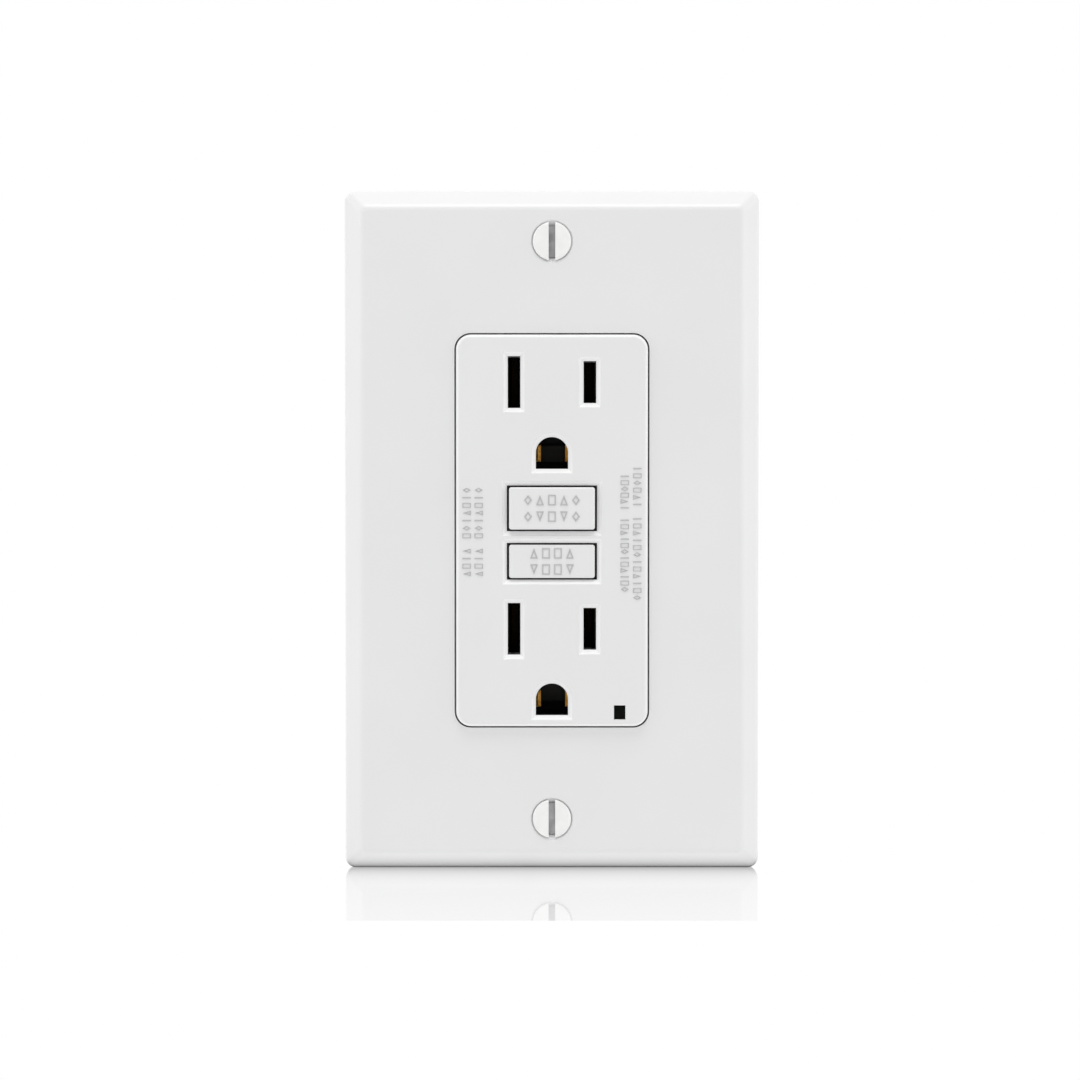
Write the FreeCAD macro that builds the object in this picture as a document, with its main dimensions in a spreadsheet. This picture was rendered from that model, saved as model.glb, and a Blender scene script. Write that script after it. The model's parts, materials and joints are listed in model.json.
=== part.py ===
import FreeCAD, Part
import os
import re

import Sketcher

# A duplex ground-fault receptacle with its wall plate, modelled at full size in millimetres.
# +X is to the right, +Y goes into the wall, +Z is up. The wall surface is the plane y = 0 and
# the origin is midway between the two screws that hold the strap to the wall box.

# Driving dimensions. "front" and "back" are y positions; "level" and "offset" are z and x ones.
DIMENSIONS = {
    # joins, cuts and fits
    "overlap": 0.1,  # how far joined features run into each other
    "beyond": 1.0,  # how far outside a piece a cut starts or ends
    "slip": 0.05,  # gap all round a sliding or screwed fit
    "hair": 0.02,  # the smallest gap between touching pieces
    # wall plate
    "plate_width": 69.85,
    "plate_height": 114.3,
    "plate_front": -5.6,
    "plate_inside": -3.4,
    "plate_rim": 1.9,
    "plate_bevel": 3.0,
    "plate_round": 1.8,
    "opening_width": 32.65,
    "opening_height": 66.15,
    "opening_corner": 2.7,
    # small machine screws
    "screw_radius": 1.75,
    "screw_neck": 1.55,
    "plate_hole_gap": 0.2,
    "screw_point": 0.4,
    "head_round": 0.45,
    "pan_head_round": 0.7,
    "plate_screw_level": 48.42,
    "plate_screw_head": 3.35,
    "plate_screw_front": -5.95,
    "plate_screw_tip": 6.6,
    "plate_head_thick": 2.1,
    "countersink": 1.6,
    "box_screw_level": 41.67,
    "box_screw_head": 3.3,
    "box_screw_front": -3.0,
    "box_screw_tip": 30.5,
    "driver_slot": 1.2,
    "driver_slot_depth": 0.9,
    # face cover
    "face_width": 32.1,
    "face_height": 65.6,
    "face_front": -6.6,
    "face_inside": -4.4,
    "face_wall": 1.6,
    "face_corner": 2.5,
    "face_edge_round": 0.7,
    "flange_front": -3.2,
    "body_width": 42.0,
    "body_height": 68.0,
    "skirt_wall": 1.5,
    "skirt_back": 2.0,
    "mouth_chamfer": 0.78,
    "upper_blade_level": 24.87,
    "receptacle_pitch": 41.32,
    "blade_offset": 6.35,
    "slot_width": 2.1,
    "neutral_slot_height": 8.65,
    "hot_slot_height": 7.0,
    "ground_drop": 11.89,
    "ground_radius": 2.7,
    "ground_flat_drop": 2.62,
    "guide_wall": 0.9,
    "lamp_offset": 11.35,
    "lamp_level": -30.45,
    "lamp_width": 1.93,
    "lamp_height": 2.4,
    "lamp_sink": 0.7,
    "lamp_margin": 0.2,
    # push buttons
    "reset_level": 3.75,
    "reset_well_width": 15.1,
    "reset_well_height": 7.65,
    "reset_gap": 0.29,
    "reset_front": -7.2,
    "test_level": -5.13,
    "test_well_width": 15.1,
    "test_well_height": 6.15,
    "test_gap": 0.29,
    "test_front": -6.5,
    "key_side_gap": 0.38,
    "button_corner": 0.4,
    "button_edge_round": 0.35,
    "collar_front": -4.2,
    "collar_back": -3.0,
    "collar_lip": 0.38,
    "stem_radius": 1.6,
    "test_stem_back": 8.6,
    "reset_spring_inner": 2.1,
    "reset_spring_outer": 2.9,
    "test_spring_inner": 1.8,
    "test_spring_outer": 2.5,
    # mounting strap
    "strap_front": -1.2,
    "strap_length": 106.4,
    "strap_width": 30.0,
    "ear_width": 33.4,
    "ear_start": 36.6,
    "ear_corner": 2.0,
    "box_slot_length": 7.2,
    "box_slot_width": 4.0,
    "notch_level": 45.2,
    "notch_length": 3.2,
    "notch_width": 1.4,
    "key_window_half": 9.0,
    "key_window_low": -9.2,
    "key_window_high": 8.6,
    "lamp_window_margin": 0.65,
    "blade_window_width": 4.2,
    "blade_window_height": 11.0,
    "ground_window_width": 6.6,
    "ground_window_height": 6.4,
    "rivet_rise": 5.6,
    "rivet_radius": 1.0,
    "rivet_head": 1.7,
    "rivet_head_thick": 0.5,
    "ground_tab_half": 4.2,
    "ground_tab_level": -35.2,
    "ground_tab_thick": 1.2,
    "ground_tab_back": 11.0,
    "ground_screw_offset": -9.0,
    "ground_screw_depth": 5.6,
    "ground_screw_reach": 2.6,
    "screw_pit_half": 2.7,
    # terminals
    "terminal_level": 14.0,
    "terminal_depth": 14.0,
    "terminal_plate_inner": 13.4,
    "terminal_thick": 1.2,
    "terminal_screw_radius": 2.05,
    "terminal_screw_head": 4.0,
    "terminal_head_thick": 2.2,
    "terminal_clamp_inner": 16.9,
    "terminal_screw_tip": 13.45,
    "terminal_plate_half": 4.8,
    "terminal_margin": 0.6,
    "tail_half": 1.2,
    "tail_depth": 2.4,
    "clamp_depth": 9.4,
    "clamp_height": 9.0,
    "clamp_hole_gap": 0.2,
    "groove_depth": 0.35,
    "groove_width": 1.0,
    "terminal_bore": 2.4,
    "terminal_bore_reach": 2.6,
    "recess_floor": 13.2,
    "recess_front": 8.0,
    "recess_back": 20.0,
    "recess_half": 5.6,
    "recess_wall": 1.2,
    "wire_hole_offset": 15.75,
    "wire_hole_radius": 1.4,
    "wire_hole_rise": 3.6,
    "wire_funnel": 0.7,
    # housings
    "mid_floor_front": 12.2,
    "mid_back": 13.2,
    "tub_floor": 10.2,
    "tub_half": 8.3,
    "tub_low": -9.7,
    "tub_high": 9.5,
    "channel_inner": 4.2,
    "channel_outer": 10.7,
    "channel_half": 5.7,
    "contact_pit_width": 3.6,
    "contact_pit_height": 4.4,
    "contact_clearance": 0.3,
    "ground_pit_half": 3.6,
    "ground_pit_drop": 3.4,
    "ground_pit_rise": 4.4,
    "foot_pit_rise": 8.0,
    "foot_pit_back": 1.6,
    "housing_wall": 1.5,
    "rear_floor": 25.6,
    "rear_back": 27.0,
    "housing_round": 1.0,
    "tray_bevel": 0.8,
    "label_width": 19.0,
    "label_height": 30.0,
    "label_depth": 0.4,
    "assembly_offset": 18.0,
    "assembly_level": 31.0,
    "assembly_radius": 1.1,
    "assembly_clearance": 0.15,
    "assembly_head": 2.2,
    "assembly_tip": -2.4,
    "assembly_head_front": 25.4,
    "assembly_head_sink": 0.2,
    "assembly_head_gap": 0.3,
    "assembly_slot_width": 0.7,
    "assembly_slot_length": 2.6,
    "post_radius": 2.6,
    # contacts
    "metal_thick": 0.8,
    "blade_gap": 1.2,
    "strip_front": 4.0,
    "strip_base": 9.7,
    "leaf_front": 1.4,
    "leaf_back": 11.6,
    "leaf_half": 4.2,
    "leaf_bevel": 0.3,
    "link_back": 9.5,
    "link_half": 2.0,
    "contact_tab_half": 1.5,
    "contact_tab_rise": 2.0,
    "band_inner": 9.0,
    "strip_top": 28.5,
    "strip_bottom": -20.5,
    "contact_offset": 10.1,
    "contact_level": 5.5,
    "contact_radius": 1.2,
    "moving_contact_radius": 1.4,
    "fixed_contact_back": 13.4,
    "moving_contact_front": 15.4,
    "arm_front": 16.4,
    "arm_thick": 0.6,
    "arm_width": 2.2,
    "arm_root": -20.9,
    "arm_bead": 0.6,
    "ground_gap": 4.1,
    "ground_shift": 0.2,
    "ground_tine_front": -3.6,
    "ground_contact_back": 9.0,
    "ground_side_back": 3.0,
    "ground_foot_start": 3.6,
    "ground_foot_stop": 7.6,
    "tine_half": 1.4,
    "tine_bevel": 0.35,
    # trip mechanism
    "pin_radius": 1.2,
    "pin_front": -5.4,
    "pin_tip": 16.3,
    "pin_collar": 1.9,
    "pin_collar_thick": 0.7,
    "pin_clearance": 0.1,
    "pin_fit": 0.02,
    "carriage_front": 15.4,
    "carriage_back": 21.6,
    "carriage_bore": 2.3,
    "carriage_half": 4.6,
    "carriage_top": 7.0,
    "carriage_bottom": -4.6,
    "wing_front": 17.35,
    "wing_back": 18.6,
    "wing_reach": 11.6,
    "wing_low": 2.75,
    "wing_high": 4.75,
    "latch_front": 19.4,
    "latch_gap": 0.05,
    "latch_half": 3.0,
    "latch_top": 8.0,
    "latch_bottom": -0.8,
    "latch_key": 2.15,
    "latch_neck": 1.4,
    "latch_stroke": 1.6,
    "latch_tab_front": 16.4,
    "latch_tab_half": 2.0,
    "latch_cavity_low": -3.6,
    "latch_cavity_margin": 0.6,
    "latch_spring_inner": 0.45,
    "latch_spring_outer": 0.85,
    "tab_notch_half": 2.4,
    "tab_notch_depth": 1.7,
    # solenoid
    "coil_depth": 18.5,
    "coil_low": 10.0,
    "coil_high": 27.0,
    "frame_half": 4.9,
    "frame_thick": 0.8,
    "bobbin_radius": 2.5,
    "bobbin_bore": 1.9,
    "flange_half": 4.05,
    "flange_thick": 0.9,
    "coil_radius": 3.95,
    "plunger_radius": 1.7,
    "plunger_nose": 8.1,
    "plunger_end": 22.0,
    "plunger_bevel": 0.4,
    "bobbin_end": 0.4,
    # sensing transformer
    "boat_level": -18.5,
    "boat_radius": 8.5,
    "boat_hole": 2.6,
    "boat_front": 14.0,
    "boat_back": 23.4,
    "boat_wall": 0.7,
    "core_inner": 4.1,
    "core_outer": 6.7,
    "core_height": 2.6,
    "core_margin": 0.8,
    "core_gap": 0.4,
    "winding_thick": 0.5,
    "winding_gap_half": 2.0,
    "lead_thick": 0.8,
    "lead_width": 1.2,
    "lead_offset": 0.4,
    "lead_front": 13.4,
    "lead_foot_low": 1.9,
    "lead_foot_high": 1.2,
    "lead_foot_gap": 0.45,
    # circuit board
    "board_front": 23.6,
    "board_back": 25.2,
    "board_width": 26.0,
    "board_height": 64.0,
    "lamp_radius": 1.0,
    "lamp_stand": 2.2,
}

# Parts on the circuit board: their boxes as (offset, level, width, height), and how far they stand up.
BOARD_BLOCKS = {
    "control_chip": ([(-9.5, -3, 4, 5)], 1.6),
    "trip_thyristor": ([(-9, 11, 4.6, 3.6)], 5),
    "film_capacitor": ([(9, 21, 5, 7.4)], 6),
    "board_resistors": ([(-9, -29.6, 3.2, 1.6), (-4, -29.6, 3.2, 1.6), (2, -29.6, 3.2, 1.6)], 0.6),
    "rectifier_diodes": ([(9.6, -1, 2.6, 4.4), (9.6, -7, 2.6, 4.4)], 2.2),
}

# Round parts on the circuit board: (offset, level, radius), and how far they stand up.
BOARD_CANS = {
    "surge_varistor": ((-8.6, 27.8, 3.2), 3.4),
    "filter_capacitor": ((9, 12, 2.5), 8),
}

SIGNS = ("", "-")
TOLERANCE = 0.01
SMALL_HOLE = 6.0

document = FreeCAD.newDocument("gfci_outlet")
nodes = []

# How each extrusion direction uses an origin plane: the plane's role and the sign that turns a
# position along the direction into a distance along the plane's normal.
PLANES = {"X": ("YZ_Plane", ""), "Y": ("XZ_Plane", "-"), "Z": ("XY_Plane", "")}


def write_dimensions():
    """Fill the sheet that drives every size in the document."""
    sheet = document.addObject("Spreadsheet::Sheet", "Sizes")
    for row, (name, number) in enumerate(DIMENSIONS.items(), start=1):
        sheet.set(f"A{row}", name)
        sheet.set(f"B{row}", str(number))
        sheet.setAlias(f"B{row}", name)
    document.recompute()


def linked(formula):
    """A formula in plain dimension names, turned into one that reads the sheet."""
    return re.sub(
        r"[a-z_]+",
        lambda word: "Sizes." + word.group() if word.group() in DIMENSIONS else word.group(),
        str(formula),
    )


def box(u_from, u_to, v_from, v_to):
    """A rectangle outline between two positions each way."""
    return ("box", u_from, u_to, v_from, v_to)


def centred(u, v, width, height):
    """A rectangle outline about a centre."""
    return box(
        f"{u} - ({width}) / 2", f"{u} + ({width}) / 2", f"{v} - ({height}) / 2", f"{v} + ({height}) / 2"
    )


def disc(u, v, radius):
    """A circle outline."""
    return ("disc", u, v, radius)


class Piece:
    """One separate piece, built feature by feature on the origin planes of its own body."""

    def __init__(self, label):
        self.body = document.addObject("PartDesign::Body", label)
        self.body.Label = label
        self.body.AllowCompound = True
        self.label = label
        self.steps = 0
        nodes.append(self.body)

    def name(self, word):
        """A new feature name that counts up within the piece."""
        self.steps += 1
        return f"{self.label}_{word}_{self.steps}"

    def bind(self, sketch, kind, geometry, point, formula):
        """Hold one sketch point at a position given by a formula."""
        index = sketch.addConstraint(Sketcher.Constraint(kind, -1, 1, geometry, point, 1.0))
        sketch.setExpression(f"Constraints[{index}]", linked(formula))

    def draw_box(self, sketch, u_from, u_to, v_from, v_to):
        """Draw a rectangle whose four sides follow formulas."""
        corners = [(0, 0), (1, 0), (1, 1), (0, 1)]
        points = [FreeCAD.Vector(u, v, 0) for u, v in corners]
        first = sketch.GeometryCount
        for side in range(4):
            sketch.addGeometry(Part.LineSegment(points[side], points[(side + 1) % 4]))
        for side in range(4):
            following = first + (side + 1) % 4
            sketch.addConstraint(Sketcher.Constraint("Coincident", first + side, 2, following, 1))
            direction = "Vertical" if side % 2 else "Horizontal"
            sketch.addConstraint(Sketcher.Constraint(direction, first + side))
        self.bind(sketch, "DistanceX", first, 1, u_from)
        self.bind(sketch, "DistanceX", first + 2, 1, u_to)
        self.bind(sketch, "DistanceY", first, 1, v_from)
        self.bind(sketch, "DistanceY", first + 2, 1, v_to)

    def draw_disc(self, sketch, u, v, radius):
        """Draw a circle whose centre and radius follow formulas."""
        circle = Part.Circle(FreeCAD.Vector(0, 0, 0), FreeCAD.Vector(0, 0, 1), 1)
        index = sketch.addGeometry(circle)
        self.bind(sketch, "DistanceX", index, 3, u)
        self.bind(sketch, "DistanceY", index, 3, v)
        constraint = sketch.addConstraint(Sketcher.Constraint("Radius", index, 1.0))
        sketch.setExpression(f"Constraints[{constraint}]", linked(radius))

    def sketch(self, outlines, direction, position):
        """A sketch of some outlines, square to a direction, at a position along it."""
        role, sign = PLANES[direction]
        sketch = self.body.newObject("Sketcher::SketchObject", self.name("sketch"))
        plane = [item for item in self.body.Origin.OriginFeatures if item.Role == role][0]
        sketch.AttachmentSupport = (plane, [""])
        sketch.MapMode = "FlatFace"
        sketch.setExpression("AttachmentOffset.Base.z", linked(f"{sign}({position})"))
        for kind, *limits in outlines:
            draw = self.draw_box if kind == "box" else self.draw_disc
            draw(sketch, *limits)
        return sketch

    def add(self, outlines, start, stop, direction="Y"):
        """Pad outlines from one position to a higher one."""
        position = stop if direction == "Y" else start
        pad = self.body.newObject("PartDesign::Pad", self.name("pad"))
        pad.Profile = self.sketch(outlines, direction, position)
        pad.setExpression("Length", linked(f"({stop}) - ({start})"))
        return self

    def cut(self, outlines, start, stop, direction="Y"):
        """Pocket outlines from one position to a higher one."""
        position = start if direction == "Y" else stop
        pocket = self.body.newObject("PartDesign::Pocket", self.name("pocket"))
        pocket.Profile = self.sketch(outlines, direction, position)
        pocket.setExpression("Length", linked(f"({stop}) - ({start})"))
        return self

    def dress(self, kind, property_name, formula, wanted):
        """Round or bevel the edges that pass a test."""
        document.recompute()
        base = self.body.Tip
        edges = [f"Edge{i}" for i, edge in enumerate(base.Shape.Edges, start=1) if wanted(edge)]
        if not edges:
            raise RuntimeError(f"{self.label} has no edge to dress")
        feature = self.body.newObject(kind, self.name("dress"))
        feature.Base = (base, edges)
        feature.setExpression(property_name, linked(formula))
        return self

    def round(self, formula, wanted):
        """Fillet the edges that pass a test."""
        return self.dress("PartDesign::Fillet", "Radius", formula, wanted)

    def bevel(self, formula, wanted):
        """Chamfer the edges that pass a test."""
        return self.dress("PartDesign::Chamfer", "Size", formula, wanted)


def size(name):
    return DIMENSIONS[name]


def close(value, target):
    """Whether two positions agree."""
    return abs(value - target) < TOLERANCE


def flat_at(edge, axis, position):
    """Whether an edge lies wholly at one position along an axis."""
    bounds = edge.BoundBox
    low, high = getattr(bounds, axis + "Min"), getattr(bounds, axis + "Max")
    return close(low, position) and close(high, position)


def in_front(position):
    """A test for edges that lie in the plane y = position."""
    return lambda edge: flat_at(edge, "Y", position)


def on_middle_at(position):
    """A test for small closed edges on the middle plane x = 0, in the plane y = position."""

    def wanted(edge):
        bounds = edge.BoundBox
        return flat_at(edge, "Y", position) and close(bounds.Center.x, 0) and bounds.XLength < SMALL_HOLE

    return wanted


def mouths_at(position, half_width, half_height):
    """A test for every edge in the plane y = position that lies inside a centred outline."""

    def wanted(edge):
        bounds = edge.BoundBox
        reach_x = max(abs(bounds.XMin), abs(bounds.XMax))
        reach_z = max(abs(bounds.ZMin), abs(bounds.ZMax))
        inside = reach_x < half_width - size("beyond") and reach_z < half_height - size("beyond")
        return flat_at(edge, "Y", position) and inside

    return wanted


def runs_along_y(edge):
    """Whether an edge is a straight line from front to back."""
    bounds = edge.BoundBox
    return bounds.YLength > TOLERANCE > max(bounds.XLength, bounds.ZLength)


def corner_at(half_width, half_height, centre_level=0.0):
    """A test for the four edges along Y at the corners of an outline."""

    def wanted(edge):
        centre = edge.BoundBox.Center
        at_side = close(abs(centre.x), half_width)
        return runs_along_y(edge) and at_side and close(abs(centre.z - centre_level), half_height)

    return wanted


def shoulders_at(half_width, levels):
    """A test for edges along Y at one distance from the middle plane, on any of some levels."""

    def wanted(edge):
        centre = edge.BoundBox.Center
        on_level = any(close(centre.z, level) for level in levels)
        return runs_along_y(edge) and close(abs(centre.x), half_width) and on_level

    return wanted


def at_both_ends(level, radius):
    """Two circle outlines on the middle plane, at a level and at its mirror image."""
    return [disc(0, f"{sign}{level}", radius) for sign in SIGNS]


def wall_plate():
    """The plate: bevelled and rounded outside, hollow behind, with a boss at each screw hole."""
    plate = Piece("wall_plate")
    plate.add([centred(0, 0, "plate_width", "plate_height")], "plate_front", 0)
    plate.bevel("plate_bevel", in_front(size("plate_front")))
    plate.round("plate_round", lambda edge: not flat_at(edge, "Y", 0))
    hollow = centred(0, 0, "plate_width - 2 * plate_rim", "plate_height - 2 * plate_rim")
    plate.cut([hollow], "plate_inside", 0)
    opening = centred(0, 0, "opening_width", "opening_height")
    plate.cut([opening], "plate_front - beyond", "plate_inside")
    plate.round("opening_corner", corner_at(size("opening_width") / 2, size("opening_height") / 2))
    bosses = at_both_ends("plate_screw_level", "plate_screw_head - overlap")
    plate.add(bosses, "plate_inside - overlap", "strap_front - overlap")
    holes = at_both_ends("plate_screw_level", "screw_radius + plate_hole_gap")
    plate.cut(holes, "plate_front - beyond", 0)
    plate.bevel("countersink", on_middle_at(size("plate_front")))


def plate_screw(label, sign):
    """An oval-head screw: rounded and slotted in front, tapered under the head."""
    level = f"{sign}plate_screw_level"
    head_back = "plate_screw_front + plate_head_thick"
    screw = Piece(label)
    screw.add([disc(0, level, "plate_screw_head")], "plate_screw_front", head_back)
    screw.bevel("countersink - hair", in_front(size("plate_screw_front") + size("plate_head_thick")))
    screw.round("head_round", in_front(size("plate_screw_front")))
    screw.add([disc(0, level, "screw_radius")], "plate_screw_front + beyond", "plate_screw_tip")
    slot = centred(0, level, "driver_slot", "2 * plate_screw_head + beyond")
    screw.cut([slot], "plate_screw_front - beyond", "plate_screw_front + driver_slot_depth")
    screw.bevel("screw_point", in_front(size("plate_screw_tip")))


def box_screw(label, sign):
    """A pan-head screw that holds the strap to the wall box."""
    level = f"{sign}box_screw_level"
    screw = Piece(label)
    screw.add([disc(0, level, "box_screw_head")], "box_screw_front", "strap_front")
    screw.round("pan_head_round", in_front(size("box_screw_front")))
    screw.add([disc(0, level, "screw_neck")], "strap_front - overlap", 0)
    screw.add([disc(0, level, "screw_radius")], 0, "box_screw_tip")
    slot = centred(0, level, "driver_slot", "2 * box_screw_head + beyond")
    screw.cut([slot], "box_screw_front - beyond", "box_screw_front + driver_slot_depth")
    screw.bevel("screw_point", in_front(size("box_screw_tip")))


def receptacle_levels():
    """Formulas for the blade level of the upper and lower receptacle."""
    return ["upper_blade_level", "upper_blade_level - receptacle_pitch"]


def ground_mouth(level):
    """The outline of one ground opening before its upper corners are rounded into an arch."""
    centre = f"{level} - ground_drop"
    bottom, top = f"{centre} - ground_flat_drop", f"{centre} + ground_radius"
    return box("-ground_radius", "ground_radius", bottom, top)


def face_cover():
    """The white front housing that shows through the plate, with all its openings."""
    cover = Piece("face_cover")
    cover_shell(cover)
    cover_openings(cover)
    cover.add(corner_discs("post_radius"), "strap_front - overlap", 0)
    cover.cut(corner_discs("assembly_radius + slip"), "assembly_tip - overlap", 0)


def cover_shell(cover):
    """The raised face, the broad flange behind the plate, and a skirt along each side."""
    cover.add([centred(0, 0, "face_width", "face_height")], "face_front", "flange_front")
    cover.round("face_corner", corner_at(size("face_width") / 2, size("face_height") / 2))
    cover.round("face_edge_round", in_front(size("face_front")))
    cover.add([centred(0, 0, "body_width", "body_height")], "flange_front", "strap_front")
    side = "body_width / 2 - skirt_wall"
    skirts = [
        box("body_width / -2", f"-({side})", "body_height / -2", "body_height / 2"),
        box(side, "body_width / 2", "body_height / -2", "body_height / 2"),
    ]
    cover.add(skirts, "strap_front - overlap", "skirt_back")
    cover.round("housing_round", corner_at(size("body_width") / 2, size("body_height") / 2))
    hollow = centred(0, 0, "face_width - 2 * face_wall", "face_height - 2 * face_wall")
    cover.cut([hollow], "face_inside", "strap_front")


def blade_boxes(level, margin):
    """Outlines round the tall and the short blade opening of one receptacle."""
    width = f"slot_width + 2 * {margin}"
    return [
        centred("-blade_offset", level, width, f"neutral_slot_height + 2 * {margin}"),
        centred("blade_offset", level, width, f"hot_slot_height + 2 * {margin}"),
    ]


def cover_openings(cover):
    """Blade slots with guide walls, ground openings, key wells and the lamp window."""
    outside = "face_front - beyond"
    for level in receptacle_levels():
        cover.add(blade_boxes(level, "guide_wall"), "face_inside - overlap", "strap_front - 2 * overlap")
        cover.cut(blade_boxes(level, 0), outside, "strap_front")
        cover.cut([ground_mouth(level)], outside, "face_inside")
    upper_arch = size("upper_blade_level") - size("ground_drop") + size("ground_radius")
    arches = (upper_arch, upper_arch - size("receptacle_pitch"))
    cover.round("ground_radius - slip", shoulders_at(size("ground_radius"), arches))
    wells = [
        centred(0, "reset_level", "reset_well_width", "reset_well_height"),
        centred(0, "test_level", "test_well_width", "test_well_height"),
    ]
    cover.cut(wells, outside, "face_inside")
    mouths = mouths_at(size("face_front"), size("face_width") / 2, size("face_height") / 2)
    cover.bevel("mouth_chamfer", mouths)
    lamp_window = centred("lamp_offset", "lamp_level", "lamp_width", "lamp_height")
    cover.cut([lamp_window], outside, "strap_front")


def corner_discs(radius):
    """The four assembly-screw positions, as circle outlines."""
    return [
        disc(f"{right}assembly_offset", f"{up}assembly_level", radius) for right in SIGNS for up in SIGNS
    ]


def push_button(label, word):
    """A rectangular key with a retaining collar behind it."""
    level = f"{word}_level"
    key_width = f"{word}_well_width - 2 * key_side_gap"
    key_height = f"{word}_well_height - 2 * {word}_gap"
    half_width = size(f"{word}_well_width") / 2 - size("key_side_gap")
    half_height = size(f"{word}_well_height") / 2 - size(f"{word}_gap")
    button = Piece(label)
    button.add([centred(0, level, key_width, key_height)], f"{word}_front", "collar_front + overlap")
    button.round("button_corner", corner_at(half_width, half_height, size(level)))
    button.round("button_edge_round", in_front(size(f"{word}_front")))
    collar_width = f"{word}_well_width + 2 * collar_lip"
    collar_height = f"{word}_well_height + 2 * collar_lip"
    button.add([centred(0, level, collar_width, collar_height)], "collar_front", "collar_back")
    return button


def reset_button():
    """The reset key, bored for its pin."""
    button = push_button("reset_button", "reset")
    button.cut([disc(0, "reset_level", "pin_radius + pin_fit")], "pin_front", "collar_back")


def test_button():
    """The test key, with the stem that guides it."""
    button = push_button("test_button", "test")
    button.add([disc(0, "test_level", "stem_radius")], "collar_back - overlap", "test_stem_back")


def reset_pin():
    """The steel pin under the reset button, with the collar that the latch plate catches."""
    pin = Piece("reset_pin")
    pin.add([disc(0, "reset_level", "pin_radius")], "pin_front", "pin_tip")
    pin.add([disc(0, "reset_level", "pin_collar")], "pin_tip - pin_collar_thick", "pin_tip")


def spring_sleeve(word, v, start, stop, direction="Y"):
    """The space that a coil spring fills, as a plain sleeve."""
    spring = Piece(f"{word}_spring")
    spring.add([disc(0, v, f"{word}_spring_outer")], start, stop, direction)
    spring.cut([disc(0, v, f"{word}_spring_inner")], start, stop, direction)


def springs():
    """The return springs of both keys and of the latch plate."""
    spring_sleeve("reset", "reset_level", "collar_back", "tub_floor")
    spring_sleeve("test", "test_level", "collar_back", "tub_floor")
    spring_sleeve("latch", "latch_front + metal_thick / 2", "latch_cavity_low", "latch_bottom", "Z")


def strap():
    """The steel yoke: a plate with an ear at each end, its windows, and a folded ground tab."""
    yoke = Piece("mounting_strap")
    yoke.add([centred(0, 0, "strap_width", "2 * (ear_start + overlap)")], "strap_front", 0)
    ear_height = "strap_length / 2 - ear_start"
    ears = [
        centred(0, f"{sign}(strap_length / 2 + ear_start) / 2", "ear_width", ear_height) for sign in SIGNS
    ]
    yoke.add(ears, "strap_front", 0)
    yoke.round("ear_corner", corner_at(size("ear_width") / 2, size("strap_length") / 2))
    for sign in SIGNS:
        ear_holes(yoke, sign)
    strap_windows(yoke)
    left, right = "ground_screw_offset - ground_tab_half", "ground_screw_offset + ground_tab_half"
    tab_low = "ground_tab_level - ground_tab_thick"
    yoke.add([box(left, right, tab_low, "ground_tab_level")], "strap_front", "ground_tab_back")
    thread = disc("ground_screw_offset", "ground_screw_depth", "terminal_screw_radius + slip")
    yoke.cut([thread], tab_low, "ground_tab_level", "Z")


def ear_holes(yoke, sign):
    """The slotted box-screw hole, the plate-screw hole and two break-off notches of one ear."""
    level = f"{sign}box_screw_level"
    straight = "(box_slot_length - box_slot_width) / 2"
    yoke.cut([disc(straight, level, "box_slot_width / 2")], "strap_front", 0)
    yoke.cut([disc(f"-{straight}", level, "box_slot_width / 2")], "strap_front", 0)
    yoke.cut([centred(0, level, f"2 * {straight}", "box_slot_width")], "strap_front", 0)
    yoke.cut([disc(0, f"{sign}plate_screw_level", "screw_radius + slip")], "strap_front", 0)
    notches = [
        centred(f"{side}ear_width / 2", f"{sign}notch_level", "2 * notch_length", "notch_width")
        for side in SIGNS
    ]
    yoke.cut(notches, "strap_front", 0)


def strap_windows(yoke):
    """Openings for the keys, the lamp, the blades and the ground pins, and the rivet holes."""
    margin = "2 * lamp_window_margin"
    windows = [
        box("-key_window_half", "key_window_half", "key_window_low", "key_window_high"),
        centred("lamp_offset", "lamp_level", f"lamp_width + {margin}", f"lamp_height + {margin}"),
    ]
    for level in receptacle_levels():
        centre = f"{level} - ground_drop"
        for side in SIGNS:
            windows.append(centred(f"{side}blade_offset", level, "blade_window_width", "blade_window_height"))
        windows.append(centred("ground_shift", centre, "ground_window_width", "ground_window_height"))
    yoke.cut(windows, "strap_front", 0)
    yoke.cut(rivet_discs("rivet_radius"), "strap_front", 0)


def rivet_discs(radius):
    """The two rivet positions, as circle outlines."""
    return [
        disc("ground_shift", f"{level} - ground_drop + rivet_rise", radius) for level in receptacle_levels()
    ]


def strap_rivets():
    """Two rivets that hold the ground contacts to the strap."""
    foot_back = "slip + metal_thick"
    rivets = Piece("strap_rivets")
    rivets.add(rivet_discs("rivet_head"), "strap_front - rivet_head_thick", "strap_front")
    rivets.add(rivet_discs("rivet_radius"), "strap_front - overlap", f"{foot_back} + overlap")
    rivets.add(rivet_discs("rivet_head"), foot_back, f"{foot_back} + rivet_head_thick")


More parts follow.
